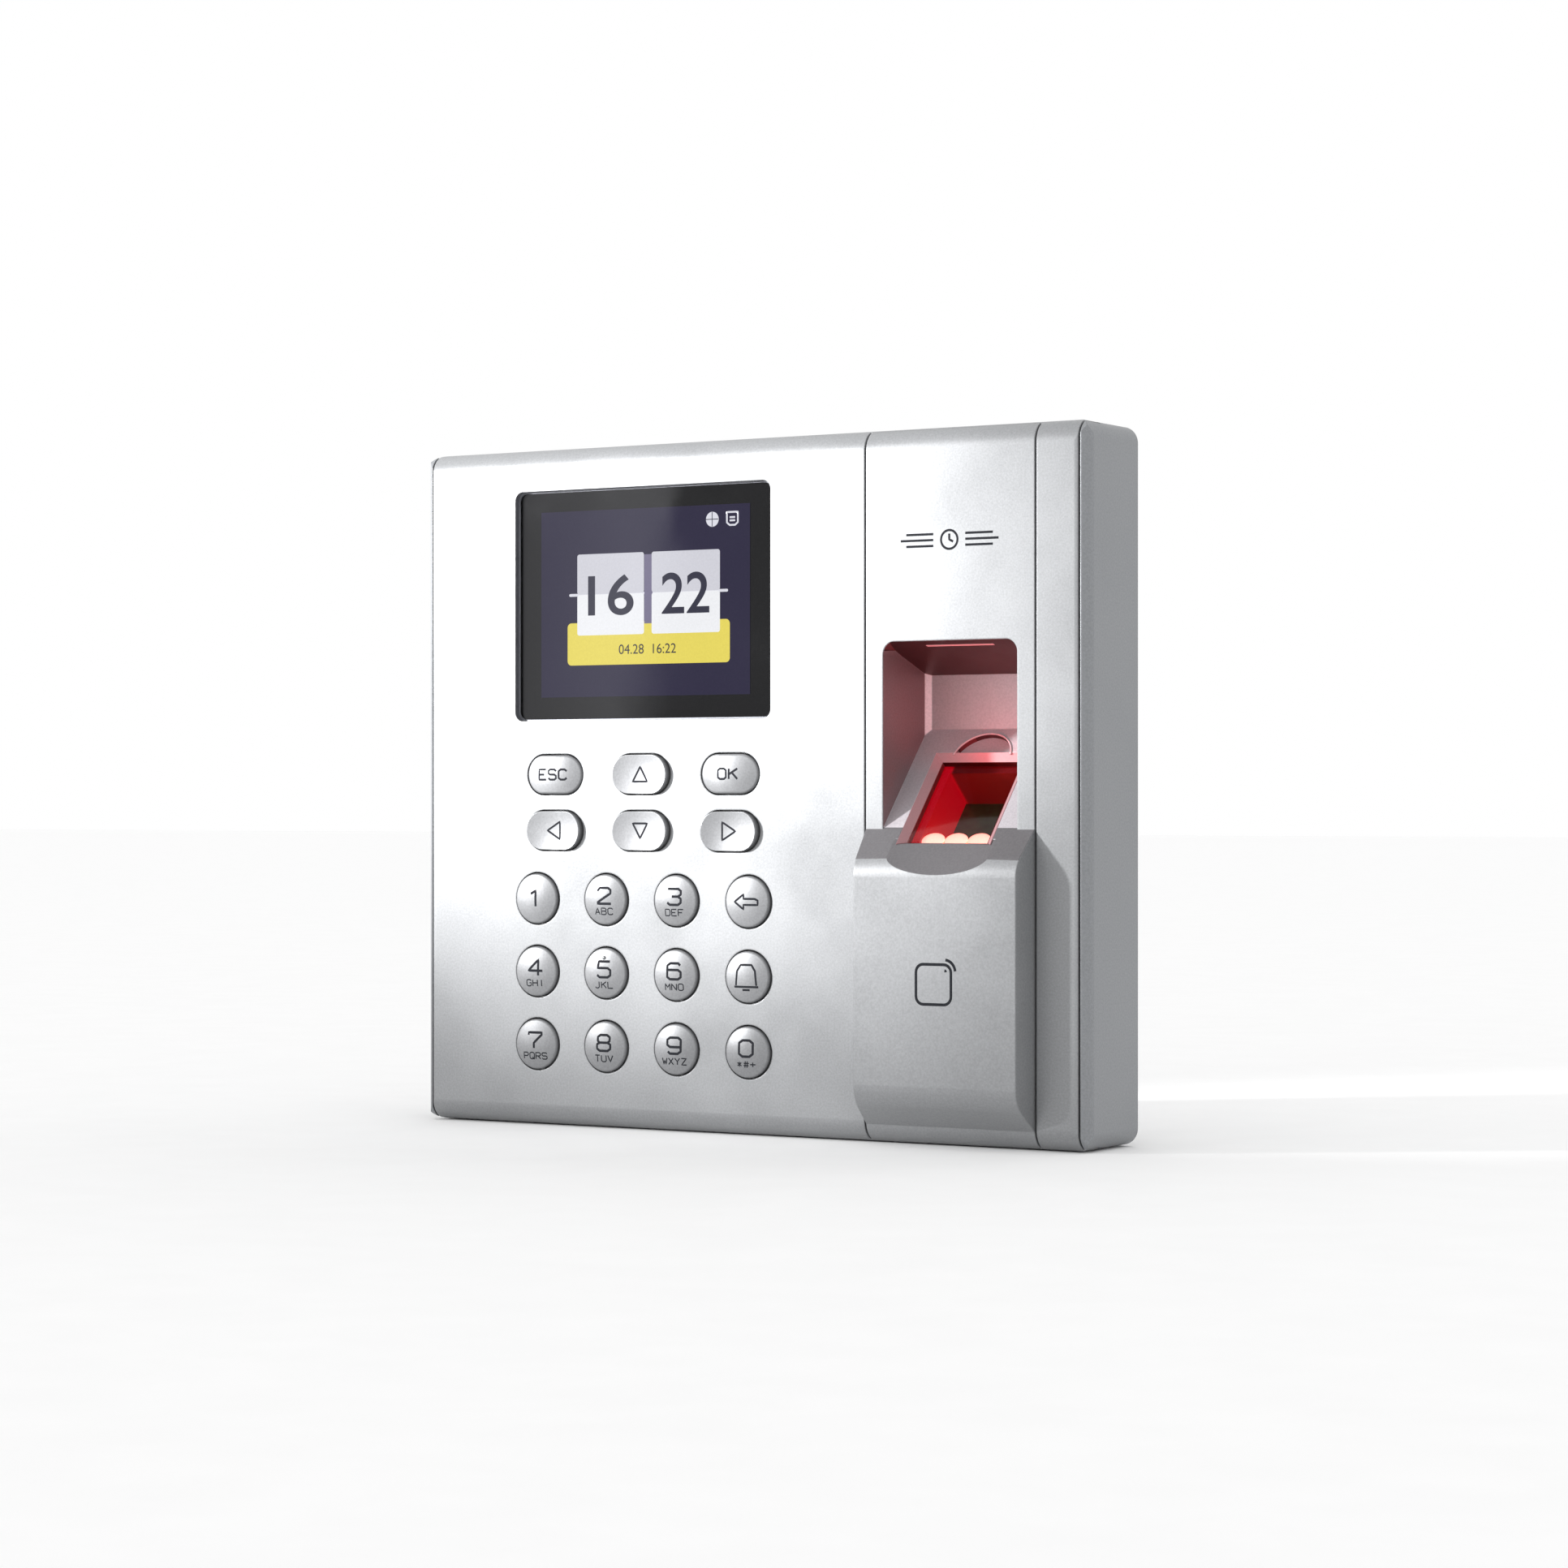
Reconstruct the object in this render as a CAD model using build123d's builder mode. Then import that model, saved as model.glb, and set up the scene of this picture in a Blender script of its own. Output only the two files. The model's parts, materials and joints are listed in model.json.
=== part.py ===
"""Fingerprint time clock: a wall terminal with a screen, eighteen keys and a finger recess.

Millimetres, +Z up. The origin is the centre of the wall plate's back face, so the wall is the
plane Y = 0 and the user stands on the -Y side. Depths are measured back from the front face.
"""

import os
from math import cos, radians, sin, tan

from build123d import *

os.makedirs("parts", exist_ok=True)

# ---------------------------------------------------------------- driving dimensions
body_width = 150.0
body_height = 134.0
body_depth = 20.5
wall = 2.2
corner_round = 3.2
side_edge_round = 2.7
end_edge_round = 4.0
cover_depth = 8.0
cheek = 1.8  # from the body's side to the middle of the seam beside it
seam = 0.4  # width of a visible joint line
slip = 0.2  # clearance of a piece that drops into another

plinth_inset_x = 14.0  # from the body's side to the plinth's
plinth_inset_z = 14.0
plinth_depth = 9.5
plinth_round = 6.0
rear_wall = 2.0
rear_recess = 3.4  # from the plinth's rim to its rear wall
lip_depth = 1.2  # how far the cover's lip reaches into the housing
plate_thickness = 1.5
plate_foot = 5.0  # band of steel left below the cable opening

column_width = 36.6
strip_width = 8.7  # of the face, between the column and the right seam
column_wall = 2.4
pod_rise = 6.0
pod_draft = 0.75
pod_foot = 8.6
pod_skin = 2.2
hollow_roof = 2.6  # plastic left between the ramp and the pod's hollow
shoulder_round = 5.7
recess_width = 28.6
recess_top = 27.1
recess_roof_drop = 5.9
recess_corner = 2.5
recess_back_bevel = 1.0
tub_wall = 1.2
tub_play = 0.3  # between the tub's back and the housing's rear wall

sensor_tilt = 42.0  # degrees between the glass and the wall
glass_width = 16.9
glass_length = 20.0
glass_thickness = 1.6
glass_depth = 6.1
glass_z = -3.1
bed_step = 1.2  # the ramp round the glass stands this much above it
rim_width = 1.4
ramp_wall = 2.4
pilot_depth = 1.9  # of the sensor screws' pilots, into the ramp's underside
sensor_height = 9.0
sensor_wall = 1.2
sensor_ear = 5.0
window_foot = 7.0  # of the web's window, below the sensor
board_thickness = 1.2
tip_rest_radius = 6.2

display_from_left = 52.2
display_from_top = 31.2
lens_width = 59.4
lens_height = 45.2
lens_thickness = 1.4
lens_round = 1.8
view_width = 48.96
view_height = 36.72
view_margin = 0.5  # of the windows round the screen's lit area
lcd_width = 58.0
lcd_height = 43.0

keypad_from_left = 52.5
key_pitch_x = 16.46
key_pitch_z = 14.42
bottom_key_row = 16.0  # from the body's underside to the lowest row of keys
nav_pitch_x = 20.5
nav_pitch_z = 11.05
nav_gap = 13.5  # from the top digit row up to the lower row of oval keys
key_diameter = 9.9
nav_length = 12.9
nav_height = 7.6
key_gap = 0.32
key_flange = 0.9
key_rise = 1.1
key_travel = 1.0
key_curve = 22.0
dish_curve = 34.0
dish_depth = 0.6
key_edge = 0.45
keypad_margin = 6.5  # of the mat and board beyond the outer keys
dome_slope = 25.0

screw_shank = 2.6
screw_head = 4.6
screw_head_height = 1.6
washer_head = 7.6
bite = 7.0  # how far a long screw's thread reaches into its boss
screw_margin = 3.0  # from a board's edge to its screws, and round a sunk screw head
boss_diameter = 5.4
small_boss = 4.6
pilot_play = 0.05

wall_screw_hole = 4.5
wall_screw_span_x = 100.0
wall_screw_span_z = 60.0
hook_width = 8.0
hook_span_x = 88.0
hook_span_z = 42.0
hook_rise = 4.0
hook_drop = 2.0  # play below a hook, for lifting the terminal off
lock_x = 48.0
lock_head = 3.0

# ---------------------------------------------------------------- places worked out from them
plinth_width = body_width - 2 * plinth_inset_x
plinth_height = body_height - 2 * plinth_inset_z
half_width = body_width / 2
half_height = body_height / 2
face_y = -(plate_thickness + plinth_depth + body_depth)
seam_x = half_width - cheek
column_x = seam_x - strip_width - column_width / 2
web_thickness = wall
web_back = column_wall + web_thickness
display_x = display_from_left - half_width
display_z = half_height - display_from_top
keypad_x = keypad_from_left - half_width
digit_top_z = bottom_key_row + 2 * key_pitch_z - half_height
nav_low_z = digit_top_z + nav_gap
pod_low = -half_height
shell_floor = body_depth - rear_wall  # depth of the body's rear wall, inside
recess_depth = shell_floor - tub_wall - tub_play
plinth_back = body_depth + plinth_depth  # depth of the plinth's rim
plinth_floor = plinth_back - rear_recess - rear_wall  # depth of the plinth's wall, inside

tilt = radians(sensor_tilt)
bed_depth = glass_depth - bed_step * cos(tilt)
bed_z = glass_z + bed_step * sin(tilt)


def layer(depth):
    """The plane parallel to the wall at this depth behind the front face, facing the user."""
    return Plane.XZ.offset(-(face_y + depth))


def ramp_z(depth):
    """Height of the finger ramp at this depth behind the front face."""
    return bed_z + (depth - bed_depth) / tan(tilt)


def side_view(x):
    """The upright plane across the wall at this X: its first axis is Y, its second is Z."""
    return Plane.YZ.offset(x)


ramp_plane = Plane(
    origin=(column_x, face_y + bed_depth, bed_z),
    x_dir=(1, 0, 0),
    z_dir=(0, -cos(tilt), sin(tilt)),
)
ramp_end_view = Plane(
    origin=(column_x, face_y + bed_depth, bed_z),
    x_dir=(1, 0, 0),
    z_dir=(0, sin(tilt), cos(tilt)),
)


def save(piece, name):
    """Name a finished piece and write its file."""
    piece.part.label = name
    export_step(piece.part, f"parts/{name}.step")


def body_block():
    """The body's outer form, square at the back, its front edges rounded."""
    with BuildPart() as block:
        with BuildSketch(layer(body_depth)):
            RectangleRounded(body_width, body_height, corner_round)
        extrude(amount=body_depth)
        with BuildSketch(side_view(-half_width)) as side_form:
            with Locations((face_y + body_depth, 0)):
                Rectangle(2 * body_depth, body_height)
            fillet(side_form.vertices().sort_by(Axis.X)[:2], radius=end_edge_round)
        extrude(amount=body_width, mode=Mode.INTERSECT)
        with BuildSketch(Plane.XY.offset(-half_height)) as plan_form:
            with Locations((0, face_y + body_depth)):
                Rectangle(body_width, 2 * body_depth)
            fillet(plan_form.vertices().sort_by(Axis.Y)[:2], radius=side_edge_round)
        extrude(amount=body_height, mode=Mode.INTERSECT)
    return block.part


def screws(base, places, length, way=1, head=screw_head):
    """Cross-head screws seated on a plane, shanks running along its normal, or against it."""
    with BuildPart() as group:
        with BuildSketch(base):
            with Locations(*places):
                Circle(head / 2)
        extrude(amount=-way * screw_head_height)
        with BuildSketch(base):
            with Locations(*places):
                Circle(screw_shank / 2)
        extrude(amount=way * length)
        with BuildSketch(base.offset(-way * screw_head_height)):
            with Locations(*places):
                Rectangle(screw_head * 0.6, screw_head * 0.15)
                Rectangle(screw_head * 0.15, screw_head * 0.6)
        extrude(amount=way * screw_head_height / 2, mode=Mode.SUBTRACT)
    return group


# ---------------------------------------------------------------- where the fasteners sit
column_edge = column_x + column_width / 2
flange_inner = seam_x - seam / 2 - wall
case_screw_x = (column_edge + flange_inner) / 2
case_screw_z = half_height - wall - boss_diameter / 2 - screw_margin / 2
case_screw_seat = body_depth - screw_head_height - slip
case_boss_end = case_screw_seat - rear_wall
case_pad = screw_head + screw_margin
case_screw_places = [
    (side * case_screw_x, end * case_screw_z) for side in (-1, 1) for end in (-1, 1)
]
column_screw_x = column_width / 2 - 2 * screw_margin
column_screw_z = half_height - boss_diameter - 2 * screw_margin
column_screw_places = [
    (column_x + side * column_screw_x, end * column_screw_z)
    for side in (-1, 1)
    for end in (-1, 1)
]
keypad_edge = 1.5 * key_pitch_x + key_diameter / 2 + keypad_margin
keypad_top_z = nav_low_z + nav_pitch_z / 2
keypad_low_z = bottom_key_row - half_height - key_diameter / 2 - 3 * key_flange
keypad_screw_places = [
    (keypad_x + side * (keypad_edge - screw_margin), z)
    for side in (-1, 1)
    for z in (keypad_low_z + screw_margin, keypad_top_z)
]
lcd_ear = 3.2
lcd_screw_places = [
    (display_x + side * (lcd_width / 2 + lcd_ear), display_z) for side in (-1, 1)
]

# ---------------------------------------------------------------- the keys' names and places
round_keys = [
    ["key_1", "key_2", "key_3", "key_backspace"],
    ["key_4", "key_5", "key_6", "key_bell"],
    ["key_7", "key_8", "key_9", "key_0"],
]
nav_keys = [["key_esc", "key_up", "key_ok"], ["key_left", "key_down", "key_right"]]
dished_keys = ["key_up", "key_left", "key_down", "key_right"]
round_places = {
    name: (keypad_x + (column - 1.5) * key_pitch_x, digit_top_z - row * key_pitch_z)
    for row, names in enumerate(round_keys)
    for column, name in enumerate(names)
}
nav_places = {
    name: (keypad_x + (column - 1) * nav_pitch_x, nav_low_z + (1 - row) * nav_pitch_z)
    for row, names in enumerate(nav_keys)
    for column, name in enumerate(names)
}

# the keypad's layers behind the front wall
flange_depth = wall + slip
mat_thickness = 0.8
dome_height = 0.8
dome_radius = 3.2
dome_depth = flange_depth + key_flange + key_travel + slip
mat_depth = dome_depth + dome_height
keypad_board_depth = mat_depth + mat_thickness
keypad_board_back = keypad_board_depth + board_thickness

# the screen's layers behind the front wall
gasket_thickness = 0.5
lcd_panel_thickness = 1.2
backlight_thickness = 1.0
lcd_tray_wall = 0.5
lcd_panel_depth = wall + gasket_thickness
backlight_depth = lcd_panel_depth + lcd_panel_thickness
lcd_floor = backlight_depth + backlight_thickness
lcd_back = lcd_floor + lcd_tray_wall

# the main board and what stands on its back
board_margin = 1.5
main_board_depth = keypad_board_back + screw_head_height + board_margin
main_board_thickness = 1.6
main_board_back = main_board_depth + main_board_thickness
main_board_left = -(case_screw_x - boss_diameter / 2 - board_margin)
main_board_right = column_x - column_width / 2 - wall
main_board_top = plinth_height / 2 - rear_wall - 2 * board_margin
main_board_low = wall + board_margin - half_height
bay_left = -42.0
bay_right = 22.0
bay_height = 19.0
bay_clearance = 2.0  # from the main board to the bay's front wall
bay_low = -plinth_height / 2
bay_top = bay_low + bay_height
bay_wall = 1.4
bay_front = main_board_back + bay_clearance
bay_x = (bay_left + bay_right) / 2
jack_width = 16.0
jack_height = plinth_floor - main_board_back - 3 * slip
jack_length = 15.0
jack_x = -22.0
jack_mouth = (11.8, 7.0)
jack_latch = (6.2, 1.8)
jack_back = 2.5
power_width = 9.0
power_height = 10.0
power_length = 13.0
power_x = 8.0
power_mouth = 3.2
power_pin = 1.0
power_back = 2.0
usb_width = 13.2
usb_height = 5.6
usb_length = 14.0
usb_x = main_board_left + 10.5
usb_shell = 0.4
usb_tongue = 1.6
usb_tongue_foot = 0.6
usb_back = 1.0
main_screw_places = [
    (x, z)
    for x in (main_board_left + 2.5 * screw_margin, main_board_right - 1.5 * screw_margin)
    for z in (main_board_top - 1.5 * screw_margin, bay_top + bay_wall + boss_diameter / 2 + slip)
]
speaker_width = 26.0
speaker_height = 5.0
speaker_depth = 8.2
speaker_front = cover_depth + seam + lip_depth + slip
speaker_rim = 1.5
grille_pitch = 3.4
grille_slot = 1.4
speaker_gasket_thickness = 0.8
battery_width = 48.0
battery_height = 32.0
battery_thickness = 5.6
battery_x = -13.0
battery_z = main_board_top - battery_height / 2 - 11
battery_corner = 2.5

# the tamper plunger through the rear wall, and its switch on the main board
tamper_x = battery_x + battery_width / 2 + 1.0
tamper_z = main_board_top - 6
plunger_radius = 2.0
plunger_gap = 0.32
plunger_travel = 1.5
plunger_collar = 1.0
plunger_nose = 0.8
switch_size = 6.0
switch_height = 3.5
switch_button = 0.5
plunger_tip = plinth_back - plunger_gap
plunger_head = main_board_back + switch_height + switch_button + plunger_travel + slip

# ---------------------------------------------------------------- front cover
with BuildPart() as front_cover:
    add(body_block())
    with BuildSketch(layer(cover_depth)):
        Rectangle(2 * seam_x - seam, body_height)
    extrude(amount=cover_depth, mode=Mode.INTERSECT)
    with BuildSketch(layer(cover_depth)):
        Rectangle(2 * flange_inner, body_height - 2 * wall)
    extrude(amount=cover_depth - wall, mode=Mode.SUBTRACT)
    # the web behind the finger column
    with BuildSketch(layer(web_back)):
        with Locations((column_x, 0)):
            Rectangle(column_width + 2 * wall, body_height - 2 * wall)
    extrude(amount=web_back - wall / 2)
    # the lip that reaches behind the housing's edge at the top and bottom
    with BuildSketch(layer(cover_depth)):
        for end in (-1, 1):
            with Locations((0, end * (half_height - 1.5 * wall))):
                Rectangle(2 * flange_inner, wall)
    extrude(amount=lip_depth)
    with BuildSketch(layer(cover_depth + seam + lip_depth)):
        for end in (-1, 1):
            with Locations((0, end * (half_height - 1.5 * wall - slip / 2))):
                Rectangle(2 * flange_inner, wall - slip)
    extrude(amount=seam + 2 * lip_depth)
    # bosses for the case screws, the keypad board and the screen bracket, then their pilots
    with BuildSketch(layer(case_boss_end)):
        with Locations(*case_screw_places):
            Circle(boss_diameter / 2)
    extrude(amount=case_boss_end - wall / 2)
    with BuildSketch(layer(keypad_board_depth)):
        with Locations(*keypad_screw_places):
            Circle(small_boss / 2)
    extrude(amount=keypad_board_depth - wall / 2)
    with BuildSketch(layer(lcd_floor)):
        with Locations(*lcd_screw_places):
            Circle(small_boss / 2)
    extrude(amount=lcd_floor - wall / 2)
    with BuildSketch(layer(case_boss_end)):
        with Locations(*case_screw_places):
            Circle(screw_shank / 2 + pilot_play)
    extrude(amount=shell_floor / 2, mode=Mode.SUBTRACT)
    with BuildSketch(layer(keypad_board_depth)):
        with Locations(*keypad_screw_places):
            Circle(screw_shank / 2 + pilot_play)
    extrude(amount=keypad_board_depth - wall / 2, mode=Mode.SUBTRACT)
    with BuildSketch(layer(lcd_floor)):
        with Locations(*lcd_screw_places):
            Circle(screw_shank / 2 + pilot_play)
    extrude(amount=lcd_floor - wall / 2, mode=Mode.SUBTRACT)
    # the channel the column drops into, and the openings in the web behind it
    with BuildSketch(layer(column_wall)):
        with Locations((column_x, 0)):
            Rectangle(column_width, body_height)
    extrude(amount=column_wall, mode=Mode.SUBTRACT)
    window_top = recess_top + tub_wall + 2 * slip
    window_low = ramp_z(0) - ramp_wall - sensor_height - window_foot
    with BuildSketch(layer(web_back)):
        with Locations((column_x, (window_top + window_low) / 2)):
            Rectangle(recess_width + 2 * tub_wall + 2 * slip, window_top - window_low)
        with Locations(*column_screw_places):
            Circle(boss_diameter / 2 + slip)
    extrude(amount=web_thickness, mode=Mode.SUBTRACT)
    # the lens pocket and its window, then the key holes
    with BuildSketch(layer(lens_thickness)):
        with Locations((display_x, display_z)):
            RectangleRounded(lens_width + 2 * slip, lens_height + 2 * slip, lens_round)
    extrude(amount=lens_thickness, mode=Mode.SUBTRACT)
    with BuildSketch(layer(wall)):
        with Locations((display_x, display_z)):
            Rectangle(view_width + 2 * view_margin, view_height + 2 * view_margin)
        with Locations(*round_places.values()):
            Circle(key_diameter / 2 + key_gap)
        with Locations(*nav_places.values()):
            SlotOverall(nav_length + 2 * key_gap, nav_height + 2 * key_gap)
    extrude(amount=wall, mode=Mode.SUBTRACT)
save(front_cover, "front_cover")

# ---------------------------------------------------------------- finger column
pod_width = column_width - 2 * seam
hollow_width = pod_width - 2 * pod_draft - 2 * pod_skin
hollow_top = ramp_z(-pod_rise) - ramp_wall - hollow_roof
hollow_low = pod_low + pod_foot
hollow_depth = pod_rise - pod_skin  # in front of the face
seat_width = glass_width + 2 * slip
seat_length = glass_length + 2 * slip
sensor_width = glass_width + 2 * rim_width
sensor_length = glass_length + 2 * rim_width
ear_screw_places = [(side * (sensor_width / 2 + sensor_ear / 2), 0) for side in (-1, 1)]

with BuildPart() as recess:
    with BuildSketch(side_view(column_x - recess_width / 2)):
        with BuildLine():
            Polyline(
                (face_y - pod_rise, ramp_z(-pod_rise)),
                (face_y - pod_rise, recess_top),
                (face_y, recess_top),
                (face_y + recess_depth, recess_top - recess_roof_drop),
                (face_y + recess_depth, ramp_z(recess_depth)),
                close=True,
            )
        make_face()
    extrude(amount=recess_width)
    back_corners = recess.faces().sort_by(Axis.Y)[-1].edges().filter_by(Axis.Z)
    chamfer(back_corners, length=recess_back_bevel)
    with BuildSketch(layer(recess_depth)):
        with Locations((column_x, 0)):
            RectangleRounded(recess_width, 2 * recess_top, recess_corner)
    extrude(amount=recess_depth + pod_rise, mode=Mode.INTERSECT)

with BuildPart() as finger_groove:
    groove_half = (sensor_width + rim_width) / 2 + slip
    groove_radius = (groove_half**2 + bed_step**2) / (2 * bed_step)
    with BuildSketch(ramp_end_view.offset(-seat_length / 2)):
        with Locations((0, bed_step - groove_radius)):
            Circle(groove_radius)
        Rectangle(2 * groove_half, 4 * bed_step, mode=Mode.INTERSECT)
    extrude(amount=-glass_length)

with BuildPart() as sensor_seat:
    with BuildSketch(ramp_plane):
        Rectangle(seat_width + 2 * rim_width, seat_length + 2 * rim_width)
    with BuildSketch(ramp_plane.offset(-bed_step)):
        Rectangle(seat_width, seat_length)
    loft()
    with BuildSketch(ramp_plane):
        with Locations((0, seat_length / 2)):
            Circle(tip_rest_radius)
        with Locations((0, seat_length / 2 + tip_rest_radius / 2)):
            Rectangle(2 * tip_rest_radius, tip_rest_radius, mode=Mode.INTERSECT)
    extrude(amount=-bed_step)
    with BuildSketch(ramp_plane):
        Rectangle(seat_width, seat_length)
    extrude(amount=-ramp_wall)
    with BuildSketch(ramp_plane.offset(-ramp_wall)):
        Rectangle(sensor_width + 2 * slip, sensor_length + 2 * slip)
    extrude(amount=-2 * sensor_height)

with BuildPart() as finger_column:
    add(body_block())
    with BuildSketch(layer(column_wall)):
        with Locations((column_x, 0)):
            Rectangle(pod_width, body_height)
    extrude(amount=column_wall, mode=Mode.INTERSECT)
    # the card pod, drawn from the side: ramp, shoulder, front and leaning foot
    with BuildSketch(side_view(column_x - pod_width / 2)):
        with BuildLine():
            FilletPolyline(
                (face_y + column_wall, ramp_z(column_wall)),
                (face_y - pod_rise, ramp_z(-pod_rise)),
                (face_y - pod_rise, pod_low + pod_foot),
                (face_y + column_wall, pod_low + pod_foot / 6),
                radius=shoulder_round,
            )
            Line(
                (face_y + column_wall, pod_low + pod_foot / 6),
                (face_y + column_wall, ramp_z(column_wall)),
            )
        make_face()
    extrude(amount=pod_width)
    # the pod's sides lean inwards
    for side in (-1, 1):
        with BuildSketch(Plane.XY.offset(pod_low)):
            with BuildLine():
                Polyline(
                    (column_x + side * pod_width / 2, face_y),
                    (column_x + side * (pod_width / 2 - pod_draft), face_y - pod_rise),
                    (column_x + side * (pod_width / 2 + 1), face_y - pod_rise),
                    (column_x + side * (pod_width / 2 + 1), face_y),
                    close=True,
                )
            make_face()
        extrude(amount=body_height, mode=Mode.SUBTRACT)
    # the tub that carries the ramp
    with BuildSketch(side_view(column_x - recess_width / 2 - tub_wall)):
        with BuildLine():
            Polyline(
                (face_y + column_wall / 2, recess_top + tub_wall),
                (face_y + column_wall, recess_top + tub_wall),
                (face_y + recess_depth + tub_wall, recess_top - recess_roof_drop + tub_wall),
                (face_y + recess_depth + tub_wall, ramp_z(recess_depth) - ramp_wall),
                (face_y + recess_depth, ramp_z(recess_depth) - ramp_wall / sin(tilt)),
                (face_y + column_wall / 2, ramp_z(column_wall / 2) - ramp_wall / sin(tilt)),
                close=True,
            )
        make_face()
    extrude(amount=recess_width + 2 * tub_wall)
    add(recess.part, mode=Mode.SUBTRACT)
    # the hollow behind the pod's front
    with BuildSketch(layer(column_wall)):
        with Locations((column_x, (hollow_top + hollow_low) / 2)):
            Rectangle(hollow_width, hollow_top - hollow_low)
    extrude(amount=column_wall + hollow_depth, mode=Mode.SUBTRACT)
    add(finger_groove.part, mode=Mode.SUBTRACT)
    add(sensor_seat.part, mode=Mode.SUBTRACT)
    # bosses that stand through the web, the lower pair carried by the pod's front
    with BuildSketch(layer(web_back - slip)):
        with Locations(*column_screw_places):
            Circle(boss_diameter / 2)
    extrude(amount=web_thickness)
    with BuildSketch(layer(column_wall)):
        with Locations(*[place for place in column_screw_places if place[1] < 0]):
            Circle(boss_diameter / 2)
    extrude(amount=column_wall + hollow_depth + pod_skin / 4)
    with BuildSketch(layer(web_back - slip)):
        with Locations(*column_screw_places):
            Circle(screw_shank / 2 + pilot_play)
    extrude(amount=web_thickness + column_wall / 2, mode=Mode.SUBTRACT)
    # pilots for the sensor's screws in the ramp's underside
    with BuildSketch(ramp_plane.offset(-ramp_wall)):
        with Locations(*ear_screw_places):
            Circle(screw_shank / 2 + pilot_play)
    extrude(amount=pilot_depth, mode=Mode.SUBTRACT)
save(finger_column, "finger_column")
column_bite = web_thickness + column_wall / 3
column_screws = screws(layer(web_back), column_screw_places, column_bite, head=washer_head)
save(column_screws, "column_screws")

# ---------------------------------------------------------------- fingerprint sensor
sensor_ear_thickness = 2.0
sensor_back = ramp_wall + sensor_height  # below the ramp's surface

with BuildPart() as sensor_glass:
    with BuildSketch(ramp_plane.offset(-bed_step)):
        Rectangle(glass_width, glass_length)
    extrude(amount=-glass_thickness)
save(sensor_glass, "sensor_glass")

with BuildPart() as sensor_body:
    with BuildSketch(ramp_plane.offset(-ramp_wall)):
        Rectangle(sensor_width, sensor_length)
    extrude(amount=-sensor_height)
    with BuildSketch(ramp_plane.offset(-ramp_wall)):
        Rectangle(sensor_width + 2 * sensor_ear, 2 * sensor_ear)
    extrude(amount=-sensor_ear_thickness)
    with BuildSketch(ramp_plane.offset(-ramp_wall)):
        Rectangle(seat_width, seat_length)
    extrude(amount=ramp_wall - bed_step - glass_thickness, mode=Mode.SUBTRACT)
    with BuildSketch(ramp_plane.offset(-ramp_wall)):
        Rectangle(glass_width - 2 * sensor_wall, glass_length - 2 * sensor_wall)
        with Locations(*ear_screw_places):
            Circle(screw_shank / 2 + slip)
    extrude(amount=-sensor_height, mode=Mode.SUBTRACT)
save(sensor_body, "sensor_body")

ear_plane = ramp_plane.offset(-ramp_wall - sensor_ear_thickness)
sensor_bite = sensor_ear_thickness + pilot_depth - slip
save(screws(ear_plane, ear_screw_places, sensor_bite), "sensor_screws")

socket_length = 10.0
socket_width = 4.0
socket_height = 3.0
with BuildPart() as sensor_board:
    with BuildSketch(ramp_plane.offset(-sensor_back)):
        Rectangle(sensor_width, sensor_length)
    extrude(amount=-board_thickness)
    with BuildSketch(ramp_plane.offset(-sensor_back - board_thickness)):
        with Locations((0, -glass_length / 4)):
            Rectangle(socket_length, socket_width)
    extrude(amount=-socket_height)
save(sensor_board, "sensor_board")

lamp_radius = 1.3
lamp_pitch = 5.7
lamp_below_glass = 2.6
with BuildPart() as sensor_lamps:
    with BuildSketch(ramp_plane.offset(-sensor_back)):
        with Locations((0, 2 * lamp_radius - glass_length / 2 + sensor_wall)):
            with GridLocations(lamp_pitch, 0, 3, 1):
                Circle(lamp_radius)
    extrude(amount=sensor_height - lamp_below_glass)
    fillet(sensor_lamps.edges().group_by(Axis.Y)[0], radius=lamp_radius * 0.9)
save(sensor_lamps, "sensor_lamps")

# ---------------------------------------------------------------- card aerial in the pod
aerial_margin = 1.0
aerial_band = 5.0
aerial_low = hollow_low + boss_diameter + 4 * aerial_margin
aerial_high = hollow_top - aerial_margin
aerial_z = (aerial_low + aerial_high) / 2
aerial_height = aerial_high - aerial_low
aerial_width = hollow_width - 2 * aerial_margin
with BuildPart() as card_aerial:
    with BuildSketch(layer(board_thickness - hollow_depth)):
        with Locations((column_x, aerial_z)):
            Rectangle(aerial_width, aerial_height)
            Rectangle(
                aerial_width - 2 * aerial_band, aerial_height - 2 * aerial_band, mode=Mode.SUBTRACT
            )
    extrude(amount=board_thickness)
save(card_aerial, "card_aerial")

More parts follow.
